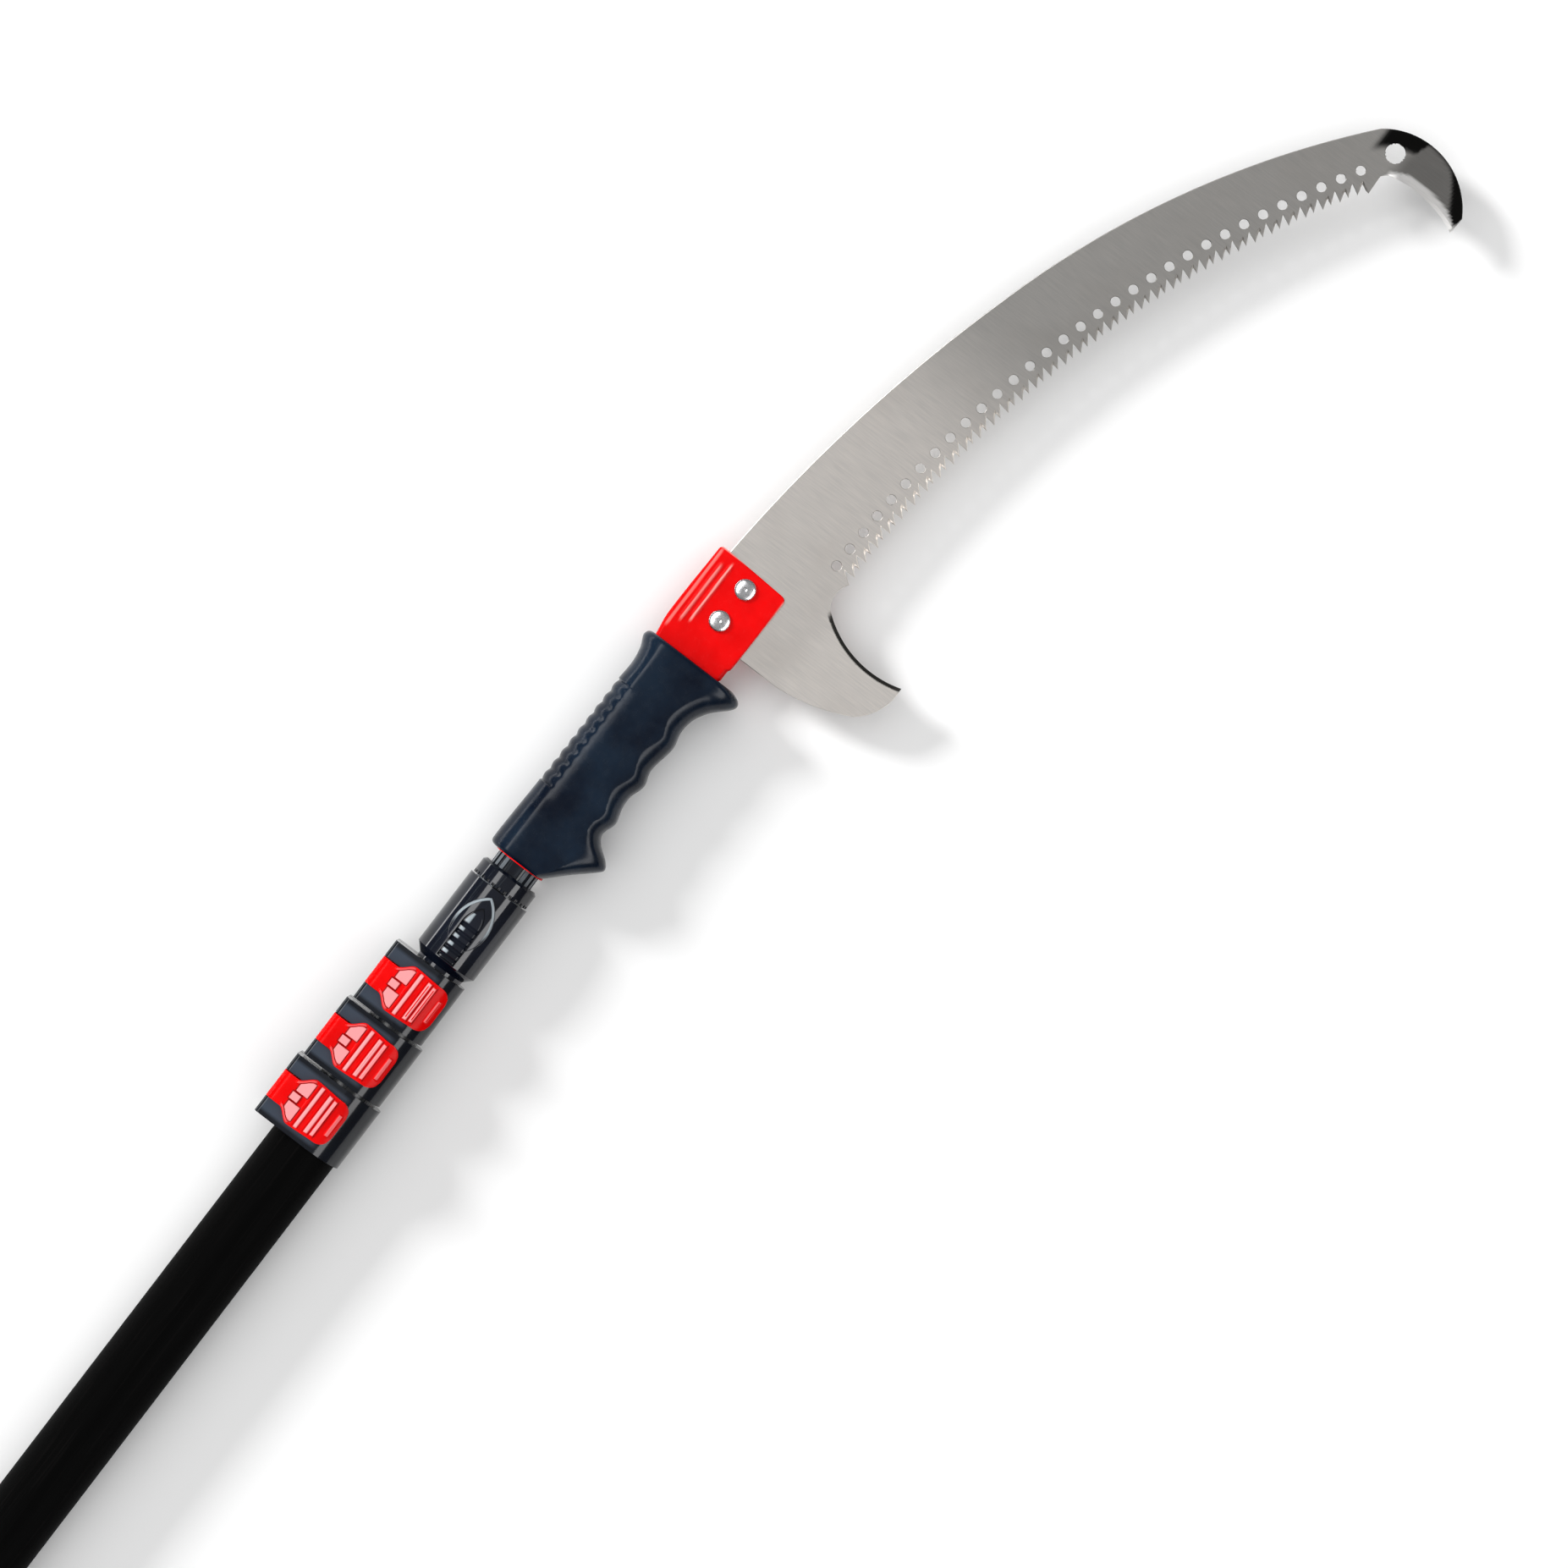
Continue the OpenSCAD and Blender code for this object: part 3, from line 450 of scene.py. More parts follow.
WALL = 1.3
TUBE_EDGE = 0.35
TUBES = [
    ("base_tube", "base", BASE_TUBE), ("tube_2", "section_2", INNER_TUBE),
    ("tube_3", "section_3", INNER_TUBE), ("tube_4", "section_4", INNER_TUBE),
]


def build_tube(node, body, look):
    """One of the pole's tubes, with softened rims; the CAD tube's fastener holes are left out."""
    low, high = span(node)
    bore = high.y - WALL
    corners = [(low.x, bore), (low.x, high.y), (high.x, high.y), (high.x, bore)]
    profile = soften(corners + corners[:2], TUBE_EDGE)[1:-1]
    add_piece(f"{node}_shell", *lathe(profile, 128, True), body, "tube_black", look, [node])


def build_butt_cap():
    """Moulded rubber cap: a ring in its end face, grip grooves and a rolled lip."""
    low, high = span("butt_cap")
    r = high.y
    inside = span("base_tube")
    path = [(0, 0), (0, 10.5), (0.8, 11.3), (0.8, 13), (0, 13.8), (0, r - 3), (3, r)]
    for k in range(5):
        x = 9 + 4.2 * k
        path += [(x, r), (x + 0.5, r - 0.8), (x + 1.7, r - 0.8), (x + 2.2, r)]
    path += [(high.x - 4, r), (high.x - 3.4, r - 0.5), (high.x - 2.8, r), (high.x, r)]
    path += [(high.x, inside[1].y), (inside[0].x, inside[1].y), (inside[0].x, 0)]
    add_piece("butt_cap_shell", *lathe(soften(path, 0.4), 112), "base", "cap_rubber", CAP_BLACK, ["butt_cap"])


# ---- Clamps ----

LEVER_PLATE = 4
BAR_PROUD = 0.8
CAM_END_R = 5.1
LEVER_LENGTH = 41
LEVER_SIZES = (16.6, 27.7)
SKIN_SINK = 0.9
FACE_SKIM = 0.12
# Where the lever's raised parts start and end, as distances from its cam end: the wings and the ridge,
# then the bars as modelled and where their painted highlight lies
WING, RIDGE = (11.5, 18.4), (21.4, 22.9)
BARS = [(27.2, 29), (30.8, 32.4), (37.1, 38.7)]
BAR_TOPS = [(27.3, 29.1), (30.8, 32.2), (37.3, 38.6)]
CLAMPS = [
    ("lower", "base", "lower_lever"),
    ("middle", "section_2", "middle_lever"),
    ("upper", "section_3", "upper_lever"),
]


def lever_half_width(t):
    """Half of the lever's width at the distance t from its cam end."""
    narrow, wide = LEVER_SIZES
    flare = narrow / 2 + (wide - narrow) / 2 * ease(t, 9, 17.5) - 0.9 * ease(t, 18, 36)
    left = max(0.0, (LEVER_LENGTH - t) / 6.5)
    return flare if left >= 1 else flare - 6.5 * (1 - sqrt(1 - (1 - left) ** 2))


def lever_relief(t, x):
    """Height of the lever's face over its plate: rim, wings, square, ridge and grip bars."""
    half = lever_half_width(t)
    to_edge = half - abs(x)
    rim = bump_between(to_edge, 0.7, 1.9, 0.4) * bump_between(t, 9.5, 17, 1)
    wing = bump_between(t, *WING, 0.4) * bump_between(abs(x), 3.3, half - 2.6, 0.4)
    square = bump_between(t, 10.6, 15.8, 0.4) * bump_between(abs(x), 0, 2.1, 0.4)
    ridge = bump_between(t, *RIDGE, 0.5) * bump_between(abs(x), 0, half - 2, 0.8)
    plateau = 0.25 * bump_between(t, 19.3, 24.5, 0.6) * bump_between(abs(x), 0, half - 1.6, 0.6)
    first = bump_between(t, *BARS[0], 0.6) * bump_between(abs(x), 0, half - 2, 0.8)
    second = bump_between(t, *BARS[1], 0.6) * bump_between(abs(x), 0, half - 2.4, 0.8)
    third = bump_between(t, *BARS[2], 0.6) * bump_between(abs(x), 0, 6.4, 0.8)
    height = FACE_SKIM + max(
        0.4 * rim, (0.3 + 0.03 * (t - WING[0])) * wing, 0.5 * square, 0.5 * ridge, plateau,
        0.68 * first, 0.68 * second, 0.68 * third,
    )
    return height - 0.7 * (1 - ease(to_edge, 0, 0.7)) - 0.7 * (1 - ease(LEVER_LENGTH - t, 0, 0.7))


def lever_painted_highlight(t, x):
    """Share of the painted highlight on the raised parts of the lever's face."""
    half = lever_half_width(t)
    x = abs(x)
    wing = bump_between(t, *WING, 0.3) * bump_between(x, 3.3, half - 2.4, 0.3)
    square = bump_between(t, 10.6, 15.4, 0.3) * bump_between(x, 0, 1.9, 0.3)
    rim = bump_between(half - x, 0.5, 1.5, 0.3) * bump_between(t, 9.8, 17.2, 0.8)
    ridge = bump_between(t, *RIDGE, 0.3) * bump_between(x, 0, half - 1.6, 0.8)
    first = bump_between(t, *BAR_TOPS[0], 0.3) * bump_between(x, 0, half - 2.2, 0.5)
    second = bump_between(t, *BAR_TOPS[1], 0.3) * bump_between(x, 0, half - 2.6, 0.5)
    third = bump_between(t, *BAR_TOPS[2], 0.3) * bump_between(x, 0, 6.2, 0.5)
    return max(0.85 * wing, 0.85 * square, 0.22 * rim, ridge, 0.95 * first, 0.85 * second, 0.45 * third)


def lever_painted_shade(t, x):
    """Share of the painted shade: a dark line round the raised parts of the lever's face and along its rim.
    """
    half = lever_half_width(t)
    x = abs(x)
    around = bump_between(t, 11.0, 19.0, 0.2) * bump_between(x, 2.7, half - 1.8, 0.2)
    around -= bump_between(t, 11.5, 18.5, 0.2) * bump_between(x, 3.2, half - 2.3, 0.2)
    middle = bump_between(t, 10.0, 16.0, 0.2) * bump_between(x, 0, 2.5, 0.2)
    middle -= bump_between(t, 10.6, 15.4, 0.2) * bump_between(x, 0, 1.9, 0.2)
    lines = [bump_between(t, at, at + 0.5, 0.2) for at in (20.5, 23.4, 26.4, 29.7, 32.8)]
    across = max(lines) * bump_between(x, 0, half - 1.4, 0.4)
    return max(0.85 * around, 0.75 * middle, 0.5 * across, 0.9 * (1 - ease(half - x, 0.1, 0.6)))


def lever_path(ear_y, outer):
    """Stations (t, y, z, normal y, normal z) along the lever's face, to its free end.
    It starts 30 degrees round the cam end, where it stays clear of the clamp bolt."""
    pin_y = ear_y - CAM_END_R
    path = []
    for k in range(4, 12):
        a = pi / 2 * k / 12
        y = pin_y + CAM_END_R * cos(a)
        path.append((ear_y - y, y, outer - CAM_END_R + CAM_END_R * sin(a), cos(a), sin(a)))
    steps = 110
    for k in range(steps + 1):
        t = CAM_END_R + (LEVER_LENGTH - CAM_END_R) * k / steps
        y = ear_y - t
        z = outer if y > 0 else sqrt(outer**2 - y**2)
        path.append((t, y, z, min(y, 0) / outer, z / outer))
    return path


def build_lever_face(name, body):
    """The moulded face of a clamp lever, a skin that sits on the CAD lever's plate."""
    low, high = span(f"{name}_lever")
    centre = (low.x + high.x) / 2
    outer = high.z - BAR_PROUD
    columns = 84
    top, under = [], []
    for t, y, z, ny, nz in lever_path(high.y, outer):
        half = lever_half_width(t)
        for k in range(columns):
            x = half * (2 * k / (columns - 1) - 1)
            lift = lever_relief(t, x) * ease(t, 1.2, 4)
            top.append((centre + x, y + ny * lift, z + nz * lift))
            under.append((centre + x, y - ny * SKIN_SINK, z - nz * SKIN_SINK))
    faces = slab_faces(len(top) // columns, columns)
    skin = add_piece(f"{name}_lever_face", top + under, faces, body, "lever_red", LEVER_RED)
    # Colour attributes: a painted highlight on the raised parts, and painted shade round them and along the
    # rim
    paint(skin, "painted_light", lambda x, y, z: lever_painted_highlight(high.y - y, x - centre))
    paint(skin, "painted_shade", lambda x, y, z: lever_painted_shade(high.y - y, x - centre))


def dress_clamps():
    for name, body, lever_body in CLAMPS:
        dress(f"{name}_collar", COLLAR_BLACK, 0.5)
        dress(f"{name}_lever", LEVER_RED, 0.3)
        dress(f"{name}_lever_pin", HARDWARE, 0.2)
        dress(f"{name}_clamp_bolt", HARDWARE, 0.25)
        dress(f"{name}_collar_rivet", ZINC, 0.15)
        build_lever_face(name, lever_body)


# ---- Coupler ----

SLEEVE_R = span("coupler_sleeve")[1].y
PAD_DEPTH = 2.4
BUTTON_RIBS = 4


def pad_half_width(x, low, high):
    """Half of the thumb button's width at x: straight, then a leaf that ends in a point."""
    leaf, half = 14, 5.1
    shoulder = (high - leaf, half)
    curve = [shoulder] + arc3(shoulder, (high - leaf * 0.36, half * 0.72), (high, 0), 16)
    if x <= high - leaf:
        return half
    k = min(len(curve) - 2, max(j for j, spot in enumerate(curve) if spot[0] <= x))
    (x0, y0), (x1, y1) = curve[k], curve[k + 1]
    return y0 + (y1 - y0) * (x - x0) / (x1 - x0)


def build_button_pad():
    """Skin over the thumb button: rounded ribs with sharp valleys, then a smooth crowned front."""
    low, _ = span("release_button")
    start, high = low.x + 0.1, low.x + 32.6
    top = SLEEVE_R - 0.25
    first, pitch, crest = low.x + 2.8, 4.8, 2.2
    front = first + BUTTON_RIBS * pitch
    steps, columns = 260, 33
    points = []
    for row in (0, 1):
        for j in range(steps + 1):
            x = start + (high - start) * j / steps
            half = max(0.15, pad_half_width(x, low.x, high))
            turn = (x - first) % pitch
            valley = max(0.0, 1 - abs(turn - (crest + pitch) / 2) / ((pitch - crest) / 2))
            if x > front:
                valley = 0.0
            r = top - 0.85 * valley**0.8 - 0.5 * (1 - ease(x, start, start + 0.8))
            r -= 0.9 * ease(x, high - 5, high)
            for k in range(columns):
                y = half * (2 * k / (columns - 1) - 1)
                drop = 0.5 * (1 - ease(half - abs(y), 0, 0.7))
                reach = r - drop if row == 0 else SLEEVE_R - PAD_DEPTH
                points.append((x, y, sqrt(reach**2 - y**2)))
    faces = slab_faces(steps + 1, columns)
    pad = add_piece("button_pad", points, faces, "release_button", "nylon_black", GLOSS_BLACK)

    # Painted highlight on the rib crests and the smooth front, in a band to one side of the middle
    def painted_highlight(x, y, z):
        ribs = 1 - ease(abs((x - first) % pitch - crest / 2), 0.5, 1.2)
        ribs = ribs if x < front else ease(x, front, front + 1)
        return 0.75 * ribs * bump_between(y, 2.2, 4.7, 1.0) * (z > SLEEVE_R - PAD_DEPTH)

    paint(pad, "painted_light", painted_highlight)


def build_hood():
    """Rolled bead along the edge of the leaf-shaped hood round the thumb button's front."""
    low, _ = span("release_button")
    back, side, apex = (low.x + 9, 5.2), (low.x + 25, 9), (low.x + 39.3, 0)
    line = [back] + arc3(back, side, apex, 40)
    line += [(x, -y) for x, y in reversed(line[:-1])]
    points = []
    sides = 14
    for k, (x, y) in enumerate(line):
        ahead, behind = line[min(k + 1, len(line) - 1)], line[max(k - 1, 0)]
        along = Vector((ahead[0] - behind[0], ahead[1] - behind[1])).normalized()
        across = Vector((-along.y, along.x))
        size = 0.25 + 0.75 * ease(min(k, len(line) - 1 - k), 0, 12)
        for m in range(sides):
            a = 2 * pi * m / sides
            px, py = x + across.x * size * cos(a), y + across.y * size * cos(a)
            points.append((px, py, sqrt((SLEEVE_R + 0.45 + 0.6 * size * sin(a)) ** 2 - py**2)))
    faces = ring_faces(len(line), sides)
    faces += [tuple(range(sides)), tuple(reversed(range(len(points) - sides, len(points))))]
    bead = add_piece("hood_bead", points, faces, "section_4", "nylon_black", GLOSS_BLACK)

    # Painted highlight on the crown of the bead's front part
    def painted_highlight(x, y, z):
        crown = ease(sqrt(y * y + z * z), SLEEVE_R + 0.75, SLEEVE_R + 1.0)
        return 0.65 * crown * ease(x, low.x + 17, low.x + 25)

    paint(bead, "painted_light", painted_highlight)


def dress_coupler():
    build_button_pad()
    build_hood()
    dress("coupler_sleeve", GLOSS_BLACK, 0.4)
    dress("release_button", GLOSS_BLACK, 0.45)
    dress("nose_ring", GLOSS_BLACK, 0.3)
    dress("tip_core", NECK_BLACK, 0.25)
    dress("coupler_pin", HARDWARE, 0.2)
    dress("button_spring", HARDWARE, 0.05)
    for k in (2, 3, 4):
        dress(f"guide_bush_{k}", BUSH_WHITE, 0.3)


# ---- Saw head ----

GRIP_BACK = [
    (0, 18.3), (2, 19.4), (20, 19.2), (41, 18.6), (108, 17.9), (119, 17.4),
    (128, 18.8), (134, 21.4), (136.6, 20.9), (138.2, 19.4),
]
GRIP_FRONT = [
    (0, -13.4), (2, -15.6), (12, -25.6), (22, -36.4), (24.5, -37.3), (28, -34.6), (33, -28),
    (38, -25), (46.5, -27.2), (55, -25.1), (62, -24.8), (71, -27.2), (80, -25), (96, -27.2),
    (106, -25.3), (115, -26.9), (123, -31.8), (129.5, -38.4), (133, -40.5), (136, -39.2), (138.2, -34.5),
]
GRIP_THICK = [
    (0, 15.6), (2.5, 16.6), (60, 16.6), (110, 16.8), (128, 17.6), (133, 18.4), (136, 18.2), (138.2, 17),
]
# Front edge of the grip's flat side face, which follows the finger hollows
GRIP_FLAT_EDGE = [
    (0, -10), (6, -15), (14, -19.5), (24, -22.5), (32, -19.5), (38, -17.3), (47.6, -19.3), (57, -15.7),
    (62, -15.6), (72.6, -19.3), (82, -15.7), (87, -15.6), (97.6, -19.3), (107, -15.6), (117, -17.5),
    (127, -22), (133, -24), (138.2, -24),
]
GRIP_FLAT_BACK = 9.6
GRIP_FACET = 4.6
GRIP_FACET_DROP = 0.9
RIB_START, RIB_PITCH, RIBS, RIB_DEPTH = 42, 7.3, 9, 1.0
# Where the head tube starts to be flat, from which its sections and the blade are measured
FLAT_X = span("grip")[1].x + 1
HEAD_R = 14.5
HEAD_FLAT = 2.3
HEAD_WALL = 1.5
ROUND_END = 16
SIDE_STEPS = 16
FACE_STEPS = 14


def grip_notch(t):
    k = (t - RIB_START) / RIB_PITCH
    return 0.0 if k < 0 or k > RIBS else RIB_DEPTH * (1 - abs(sin(pi * k)))


def grip_half_section(t, length):
    """The +Z half of the grip's section at t, from its back edge to its front edge, as (y, z)."""
    end_round = 1.2
    from_end = min(t, length - t, end_round)
    inset = end_round - sqrt(end_round**2 - (end_round - from_end) ** 2)
    back = through(GRIP_BACK, t) - inset
    front = through(GRIP_FRONT, t) + inset
    high = through(GRIP_THICK, t) - inset
    notch = grip_notch(t)
    facet = GRIP_FACET_DROP * (0.35 + 0.65 * bump_between(t, 38, 105, 4))
    start = radians(20)
    points = []
    for k in range(SIDE_STEPS + 1):
        a = pi / 2 - (pi / 2 - start) * k / SIDE_STEPS
        y = GRIP_FLAT_BACK + (back - GRIP_FLAT_BACK) * (sin(a) - sin(start)) / (1 - sin(start))
        z = (high - facet) * (cos(a) / cos(start)) ** 0.8
        cut = notch * (1 - ease(k, SIDE_STEPS - 3, SIDE_STEPS))
        points.append((y - cut * sin(a), max(0.0, z - cut * cos(a))))
    flat_edge = through(GRIP_FLAT_EDGE, t)
    for k in range(1, FACE_STEPS):
        s = k / FACE_STEPS
        y = GRIP_FLAT_BACK + (flat_edge - GRIP_FLAT_BACK) * s
        points.append((y, high - facet * max(0.0, 1 - (GRIP_FLAT_BACK - y) / GRIP_FACET)))
    for k in range(SIDE_STEPS + 1):
        a = start + (pi / 2 - start) * k / SIDE_STEPS
        y = flat_edge + (front - flat_edge) * (sin(a) - sin(start)) / (1 - sin(start))
        points.append((y, high * max(0.0, cos(a) / cos(start)) ** 0.7))
    return points


def build_grip():
    low, high = span("grip")
    length = high.x - low.x
    steps = [0, 0.15, 0.4, 0.8, 1.2] + [2 + (length - 4) * k / 150 for k in range(151)]
    stations = steps + [length - 1.2, length - 0.8, length - 0.4, length - 0.15, length]
    rings = []
    for t in stations:
        half = grip_half_section(t, length)
        ring = half + [(y, -z) for y, z in reversed(half[1:-1])]
        rings.append([(low.x + t, y, z) for y, z in ring])
    directions = [Vector((y, z)).normalized() for _, y, z in rings[-1]]
    flat_high = HEAD_FLAT + 0.75
    slot = []
    for d in directions:
        y_limit = 16.7 if d.x > 0 else 25.2
        reach = min(y_limit / max(abs(d.x), 1e-6), flat_high / max(abs(d.y), 1e-6))
        slot.append((high.x, d.x * reach, d.y * reach))
    round_x = FLAT_X - ROUND_END
    rings.append(slot)
    for x in (round_x, low.x):
        rings.append([(x, d.x * HEAD_R, d.y * HEAD_R) for d in directions])
    points = [p for ring in rings for p in ring]
    faces = ring_faces(len(rings), len(rings[0]), True)
    add_piece("grip_moulding", points, faces, "section_4", "grip_black", GRIP_BLACK, ["grip"], 24)


RIDGES = [(13, 50, 11), (18, 52, 6.5)]
HEAD_EDGE = [(0, -25.2), (6.6, -25.4), (7.6, -26.2), (40, -27), (57, -27.3)]
HEAD_SPINE = [(0, 16.7), (12, 18.2), (57, 17.3)]


def head_ridge(s, y):
    """Height of the pressed ridges over the flat at s along it and y across it."""
    return sum(
        0.7 * exp(-(((y - at) / 1.15) ** 2)) * bump_between(s, a + 1.5, b - 1.5, 1.5)
        for a, b, at in RIDGES
    )


def head_painted_highlight(s, y, z, length):
    """Share of painted highlight along the flattened end's ridges, corner and open edges."""
    marks = [
        (0.5, bump_between(y, 10.6, 11.4, 0.5) * bump_between(s, 15, 46, 4)),
        (0.75, bump_between(y, 6.2, 6.9, 0.4) * bump_between(s, 17, 50, 3)),
        (0.4, bump_between(y, 14.9, 15.9, 0.5) * bump_between(s, 8, length - 3, 3)),
        (0.85, (1 - ease(y, -26.9, -26.3)) * bump_between(s, 9, length, 1)),
        (0.8, ease(s, length - 1.1, length - 0.4)),
    ]
    return max(share * mark for share, mark in marks) if z > 0.4 else 0.0


def head_section(s, length, wall):
    """Half of the flattened tube's section at s past the flat's start, from its open edge to its spine.
    wall 0 gives the outside and HEAD_WALL the inside, as (y, z)."""
    corner_low = max(0.0, s - (length - 2.9))
    corner_high = max(0.0, s - (length - 2.2))
    edge = through(HEAD_EDGE, s) + 2.9 - sqrt(max(0.0, 2.9**2 - corner_low**2))
    spine = through(HEAD_SPINE, s) - 2.2 + sqrt(max(0.0, 2.2**2 - corner_high**2))
    thick = HEAD_FLAT - wall
    if wall == 0:
        thick -= 0.35 * ease(s, length - 0.5, length)
    opened = ease(s, 6.4, 7.8)
    curl = thick
    points = []
    for k in range(6):
        a = pi / 2 * k / 5
        closed_y, closed_z = edge + wall + curl * (1 - cos(a)), max(0.01, curl * sin(a))
        open_y, open_z = edge + (0.3 if wall else 0.25 * (1 - cos(a))), HEAD_FLAT - HEAD_WALL
        open_z += 0 if wall else (thick - open_z) * sin(a)
        open_y += curl * k / 5 * (0.4 if wall else 0.2)
        points.append((closed_y + (open_y - closed_y) * opened, closed_z + (open_z - closed_z) * opened))
    start, stop = points[-1][0], spine - wall - curl
    for k in range(1, 84):
        y = start + (stop - start) * k / 84
        points.append((y, thick + (0 if wall else head_ridge(s, y))))
    for k in range(13):
        a = pi / 2 * k / 12
        points.append((stop + curl * sin(a), curl * cos(a)))
    return points


def build_head_tube():
    """The head tube, lofted from round to flat; the CAD tube's tooth slot and rivet holes are left out."""
    low, high = span("head_tube")
    length = high.x - FLAT_X
    stations = [low.x, low.x + 0.5, FLAT_X - ROUND_END]
    stations += [FLAT_X - ROUND_END + ROUND_END * k / 10 for k in range(1, 11)]
    stations += [FLAT_X + (length - 3) * k / 52 for k in range(1, 53)]
    stations += [high.x - 3 + 3 * sin(pi / 2 * k / 10) for k in range(1, 11)]
    outer_rings, inner_rings = [], []
    for x in stations:
        s = max(0.0, x - FLAT_X)
        share = max(0.0, min(1.0, (x - (FLAT_X - ROUND_END)) / ROUND_END))
        ramp = ease(s, 15, length)
        for wall, rings in ((0, outer_rings), (HEAD_WALL, inner_rings)):
            half = head_section(s, length, wall)
            count = len(half)
            ring = []
            for side in (1, -1):
                order = range(count) if side == 1 else range(count - 2, -1, -1)
                for k in order:
                    y, z = half[k]
                    turn = pi * k / (count - 1)
                    r = HEAD_R - wall
                    y = -r * cos(turn) * (1 - share) + y * share
                    z = r * sin(turn) * (1 - share) + z * share
                    slant = 2.2 * max(0.0, 14.8 - y) / 39.2 * ramp
                    ring.append((x - slant, y, side * z))
            rings.append(ring)
    size = len(outer_rings[0])
    rings = [outer + inner[::-1] for outer, inner in zip(outer_rings, inner_rings)]
    points = [p for ring in rings for p in ring]
    faces = ring_faces(len(rings), 2 * size)
    last = (len(rings) - 1) * 2 * size
    for k in range(size - 1):
        a, b, c, d = k, k + 1, 2 * size - 2 - k, 2 * size - 1 - k
        faces += [(a, b, c, d), (last + d, last + c, last + b, last + a)]
    sheet = add_piece("head_sheet", points, faces, "section_4", "head_red", HEAD_RED, ["head_tube"], 50)
    # Colour attribute: a painted highlight along the ridges, the spine's corner and the open edges
    paint(sheet, "painted_light", lambda x, y, z: head_painted_highlight(x - FLAT_X, y, z, length))


# Teeth and clearing holes lie on arcs about one centre, all measured from the head tube's flat start
TOOTH_CENTRE = (82.2, -682.6)
TIP_RADIUS, HOLE_RADIUS = 634.3, 645.6
FIRST_ANGLE, LAST_ANGLE = 90.15, 59.15
TOOTH_PAIRS = 35
LARGE_GULLET, SMALL_GULLET = 6.4, 4.3
HOLES, HOLE_FIRST, HOLE_STEP, HOLE_R = 32, 89.8, -0.9927, 2.65
HANG_SPOT, HANG_R = (432.5, -138), 5.4
HALF_BLADE = 0.8
# Steel tones at the heel and the tip, whose fall from one to the other is a painted reflection, and the tone
# of a painted highlight on the tip hook's ground bevel
HEEL_STEEL, TIP_STEEL = Vector((0.84, 0.80, 0.76)), Vector((0.49, 0.478, 0.46))
GROUND_BEVEL_HIGHLIGHT = Vector((1.0, 0.99, 0.98))
# Arcs (centre x, centre y, radius) of the tip hook's ground edge and back, and of the heel hook's inner edge
HOOK_ARC, TIP_ARC, HEEL_ARC = (357.9, -157.7, 65.6), (405.4, -150.1, 42.0), (108.8, -84.9, 57.6)


def polar(r, a):
    """The spot at radius r and angle a, in degrees, about the teeth's centre."""
    return TOOTH_CENTRE[0] + r * cos(radians(a)), TOOTH_CENTRE[1] + r * sin(radians(a))


def blade_outline():
    """Outline counted from the flat's start, as (x, y, bevel on the front, bevel on the back)."""
    soft, ground, keen = 0.25, 1.0, 2.0
    out = []

    def add(points, front=soft, back=soft):
        out.extend((x, y, front, back) for x, y in points)

    add([(3, -22), (3, 13)])
    add(arc3((3, 13), (130, 4.1), (243.5, -20.8), 60), 0.4, 0.4)
    add(arc3((243.5, -20.8), (346, -61.4), (438.5, -124.2), 56), 0.4, 0.4)
    add(arc3((438.5, -124.2), (447.3, -153), (426.5, -186.4), 32), 0.5, 0.5)
    add([(417, -186)], 0.4, 0.4)
    hook = arc3((417, -186), (423.2, -163), (421.5, -142), 24)
    add(hook[:-2], keen, keen)
    add([hook[-1], (418.5, -139), (407.5, -139.5)])
    step = (LAST_ANGLE - FIRST_ANGLE) / (2 * TOOTH_PAIRS)
    for k in range(2 * TOOTH_PAIRS - 1, -1, -1):
        a = FIRST_ANGLE + step * (k + 1)
        gullet = SMALL_GULLET if k % 2 else LARGE_GULLET
        bevels = (ground, 0.2) if k % 2 else (0.2, ground)
        add([polar(TIP_RADIUS + (0.6 if k % 2 else 0), a)], *bevels)
        add([polar(TIP_RADIUS + gullet, a - step * 0.06)], *bevels)
        add([polar(TIP_RADIUS + gullet * 0.9, a - step * 0.22)], *bevels)
    heel = polar(TIP_RADIUS, FIRST_ANGLE)
    add([heel])
    add(arc3(heel, (71.5, -45.6), (64.5, -48), 10))
    for k, spot in enumerate(arc3((64.5, -48), (52, -75), (54, -102.8), 48)):
        taper = soft + 1.3 * bump_between(k, 6, 42, 5)
        add([spot], taper, taper)
    add(arc3((54, -102.8), (37, -99.9), (27, -91.6), 14), 0.3, 0.3)
    add(arc3((27, -91.6), (18.5, -70), (15, -50), 16))
    add([(15, -22)])
    return out


def circle(centre, r, sides, bevel):
    """A hole's rim, clockwise, as outline points."""
    x, y = centre
    turns = [-2 * pi * k / sides for k in range(sides)]
    return [(x + r * cos(a), y + r * sin(a), bevel, bevel) for a in turns]


def inset(loop):
    """Each point of the loop with its direction into the material, lengthened so that a bevel stays even."""
    out = []
    count = len(loop)
    for k, here in enumerate(loop):
        p, a, b = Vector(here[:2]), Vector(loop[k - 1][:2]), Vector(loop[(k + 1) % count][:2])
        first, second = (p - a).normalized(), (b - p).normalized()
        n1, n2 = Vector((-first.y, first.x)), Vector((-second.y, second.x))
        out.append((p, (n1 + n2) / max(1 + n1.dot(n2), 0.35)))
    return out


def signed_area(loop):
    """Area inside the loop, negative when it runs clockwise."""
    return sum(a[0] * b[1] - b[0] * a[1] for a, b in zip(loop, loop[1:] + loop[:1])) / 2


def from_arc(x, y, arc):
    """Distance of a point outwards from an arc, given as (centre x, centre y, radius)."""
    return sqrt((x - arc[0]) ** 2 + (y - arc[1]) ** 2) - arc[2]


